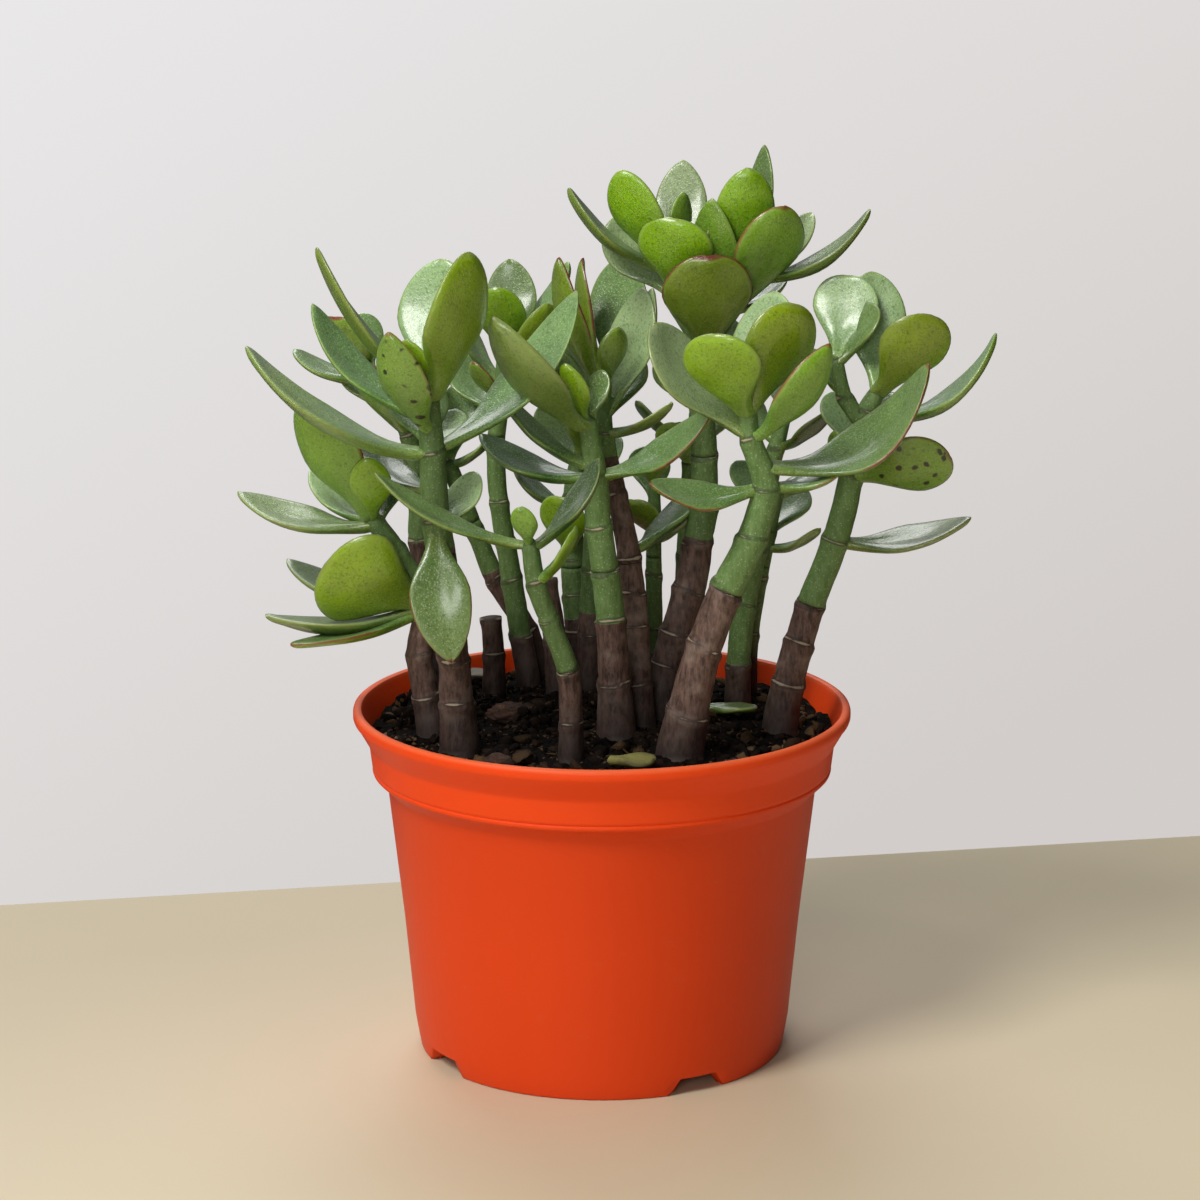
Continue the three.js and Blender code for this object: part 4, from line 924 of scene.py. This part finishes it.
def makeSoil():
    floorTop = pot["floorRise"] + pot["floor"] + 0.3
    ring = soilLook["radialStep"]
    count = int(soilRadius / ring)
    outline = [(0, floorTop), (60, floorTop), (69.3, 91), (73.9, 96.2), (75.2, 105.4),
               (soilRadius, soilLevel - 1.5)]
    bm = bmesh.new()
    bm.verts.layers.float_vector.new("crumbTone")
    chain = [bm.verts.new((r, 0, z)) for r, z in outline]
    chain += [bm.verts.new((soilRadius * (1 - (i + 0.3) / (count + 0.3)), 0,
                            soilLevel)) for i in range(count)]
    chain.append(bm.verts.new((0, 0, soilLevel)))
    edges = [bm.edges.new(pair) for pair in zip(chain, chain[1:])]
    bmesh.ops.spin(bm, geom=chain + edges, cent=(0, 0, 0), axis=(0, 0, 1), angle=2 * math.pi,
                   steps=soilLook["steps"], use_merge=True, use_duplicate=False)
    bmesh.ops.remove_doubles(bm, verts=bm.verts, dist=0.01)
    for vert in bm.verts:
        if vert.co.z > soilLevel - 0.5:
            vert.co.z = soilHeight(vert.co.x, vert.co.y)
    bmesh.ops.recalc_face_normals(bm, faces=bm.faces)
    chance = random.Random(7)
    stemFeet = [(runs[0][0][0], runs[0][0][1], runs[0][0][3]) for runs in stemPlan.values()]
    placed = 0
    while placed < soilLook["crumbs"]:
        r, turn = soilLook["crumbReach"] * math.sqrt(chance.random()), chance.uniform(0, 2 * math.pi)
        x, y = r * math.cos(turn), r * math.sin(turn)
        size = 0.7 + 2.6 * chance.random() ** 3
        if any(math.hypot(x - fx, y - fy) < fr + size for fx, fy, fr in stemFeet):
            continue
        # more bark and grit near the wall, at the left and the right
        pick = chance.random() - (0.22 if r > 60 and abs(x) > 30 else -0.16)
        if pick > 0.38:
            tone = (chance.uniform(0, 0.35), 0, 0)
        elif pick > 0.12:
            tone = (1, 0, 0)
        elif pick > -0.06:
            tone = (1, 0.7, 0)
        else:
            tone = (0, 0.5, chance.uniform(0.2, 0.9))
            size *= 0.6
        scatterCrumb(bm, tone, x, y, size, chance.uniform(0.3, 0.8), chance, 2 if size > 2 else 1)
        placed += 1
    for _ in range(soilLook["twigs"]):  # fibres and bits of root
        r, turn = soilLook["twigReach"] * math.sqrt(chance.random()), chance.uniform(0, 2 * math.pi)
        x, y = r * math.cos(turn), r * math.sin(turn)
        size = chance.uniform(3, 8)
        if any(math.hypot(x - fx, y - fy) < fr + size for fx, fy, fr in stemFeet) or r + size > 75:
            continue
        scatterCrumb(bm, (1, chance.uniform(0, 0.6), 0), x, y, size, 0.12, chance)
    finishPiece("soilBed", bm, [peat()], "potting_soil")


makeSoil()
print("soil ready")

# on the soil: bark lumps and dropped leaves
litter = {
    "bark": {"left": (-31, 4, 15, 20), "front": (-33, -52, 12, -35), "right": (42, -58, 13, 60)},
    "fallen": {"green": (33, 4, 52, 3, 14), "yellow": (2, -56, 17, -60, 13), "grey": (-49, 48, -40, 59, 9)},
    "barkTone": "#4b3327", "barkLight": "#7a5c45", "barkDeep": "#1f1511",
    "yellow": "#78733a", "yellowEdge": "#4a4422", "grey": "#857a6a", "greyEdge": "#4f463b",
}


def pineBark():
    # pine bark chip: layered cork, red-brown on the broken faces and dark in the cracks
    material, tree, surface = newMaterial("pineBark",
                                          {"Roughness": 0.88, "IOR": 1.45, "Specular IOR Level": 0.3})
    place = addNode(tree, "ShaderNodeTexCoord").outputs["Object"]
    layers = addNode(tree, "ShaderNodeMapping", {"Scale": (1, 1, 3.5)}, {"Vector": place})
    plates = addNode(tree, "ShaderNodeTexNoise", {"Scale": 1 / (3 * mm), "Detail": 6, "Roughness": 0.7},
                     {"Vector": layers.outputs["Vector"]})
    tone = addNode(tree, "ShaderNodeMapRange", {"From Min": 0.35, "From Max": 0.62},
                   {"Value": plates.outputs["Fac"]})
    deep = addNode(tree, "ShaderNodeMix", {"data_type": "RGBA", 6: linearColour(litter["barkDeep"]),
                                           7: linearColour(litter["barkTone"])}, {0: tone.outputs["Result"]})
    top = addNode(tree, "ShaderNodeMapRange", {"From Min": 0.6, "From Max": 0.75, "To Max": 0.8},
                  {"Value": plates.outputs["Fac"]})
    light = addNode(tree, "ShaderNodeMix", {"data_type": "RGBA", 7: linearColour(litter["barkLight"])},
                    {0: top.outputs["Result"], 6: deep.outputs[2]})
    tree.links.new(light.outputs[2], surface.inputs["Base Color"])
    bump = addNode(tree, "ShaderNodeBump", {"Strength": 1.0, "Distance": 0.8 * mm},
                   {"Height": plates.outputs["Fac"]})
    tree.links.new(bump.outputs["Normal"], surface.inputs["Normal"])
    return material


def dryLeaf(name, body, edge):
    # a dropped leaf: shrivelled skin, papery and dull, darker at the edge
    material, tree, surface = newMaterial(name, {"Roughness": 0.68, "IOR": 1.42, "Subsurface Weight": 0.1,
                                                 "Subsurface Radius": (1.0, 0.7, 0.3),
                                                 "Subsurface Scale": 0.001})
    place = addNode(tree, "ShaderNodeTexCoord").outputs["Object"]
    form = addNode(tree, "ShaderNodeAttribute", {"attribute_name": "leafForm"})
    parts = addNode(tree, "ShaderNodeSeparateXYZ", links={"Vector": form.outputs["Vector"]})
    wrinkle = addNode(tree, "ShaderNodeTexNoise", {"Scale": 1 / (2 * mm), "Detail": 5, "Roughness": 0.65},
                      {"Vector": place})
    reach = addNode(tree, "ShaderNodeMath", {"operation": "MULTIPLY_ADD", 1: 0.8},
                    {0: wrinkle.outputs["Fac"], 2: parts.outputs["Y"]})
    share = addNode(tree, "ShaderNodeMapRange", {"From Min": 0.4, "From Max": 1.2},
                    {"Value": reach.outputs["Value"]})
    tone = addNode(tree, "ShaderNodeMix", {"data_type": "RGBA", 6: linearColour(body), 7: linearColour(edge)},
                   {0: share.outputs["Result"]})
    tree.links.new(tone.outputs[2], surface.inputs["Base Color"])
    bump = addNode(tree, "ShaderNodeBump", {"Strength": 0.7, "Distance": 0.5 * mm},
                   {"Height": wrinkle.outputs["Fac"]})
    tree.links.new(bump.outputs["Normal"], surface.inputs["Normal"])
    return material


def makeLitter():
    cork = pineBark()
    for number, (name, (x, y, length, turn)) in enumerate(litter["bark"].items()):
        bm = bmesh.new()
        bmesh.ops.create_icosphere(bm, subdivisions=4, radius=length / 2)
        for vert in bm.verts:
            spot = vert.co / 3.2 + Vector((number * 13, 4, 1))
            vert.co *= 1 + 0.2 * noise.noise(spot) + 0.12 * noise.noise(spot * 2.7)
        bmesh.ops.scale(bm, vec=(1, 0.62, 0.4), verts=bm.verts)
        lying = Matrix.Rotation(math.radians(turn), 3, "Z") @ Matrix.Rotation(0.2, 3, "X")
        bmesh.ops.rotate(bm, cent=(0, 0, 0), matrix=lying, verts=bm.verts)
        rest = bedHeight(x, y) + length * 0.12
        bmesh.ops.translate(bm, vec=(x * grown, y * grown, rest), verts=bm.verts)
        bmesh.ops.recalc_face_normals(bm, faces=bm.faces)
        finishPiece(camel("bark_" + name), bm, [cork], "bark_" + name)
    skins = {"green": leafSkin, "yellow": dryLeaf("yellowedLeaf", litter["yellow"], litter["yellowEdge"]),
             "grey": dryLeaf("witheredLeaf", litter["grey"], litter["greyEdge"])}
    for number, (name, (x, y, tipX, tipY, width)) in enumerate(litter["fallen"].items()):
        bm = bmesh.new()
        addLayers(bm)
        rest = bedHeight(x, y) + leafLook["thick"] * 0.62 + 0.3
        growLeaf(bm, Vector((x * grown, y * grown, rest)),
                 Vector(((tipX - x) * grown, (tipY - y) * grown, 0.5)),
                 width, 0, 0, "g", random.Random(40 + number))
        bmesh.ops.recalc_face_normals(bm, faces=bm.faces)
        finishPiece(camel("fallen_leaf_" + name), bm, [skins[name]], "fallen_leaf_" + name)


makeLitter()
print("litter ready")
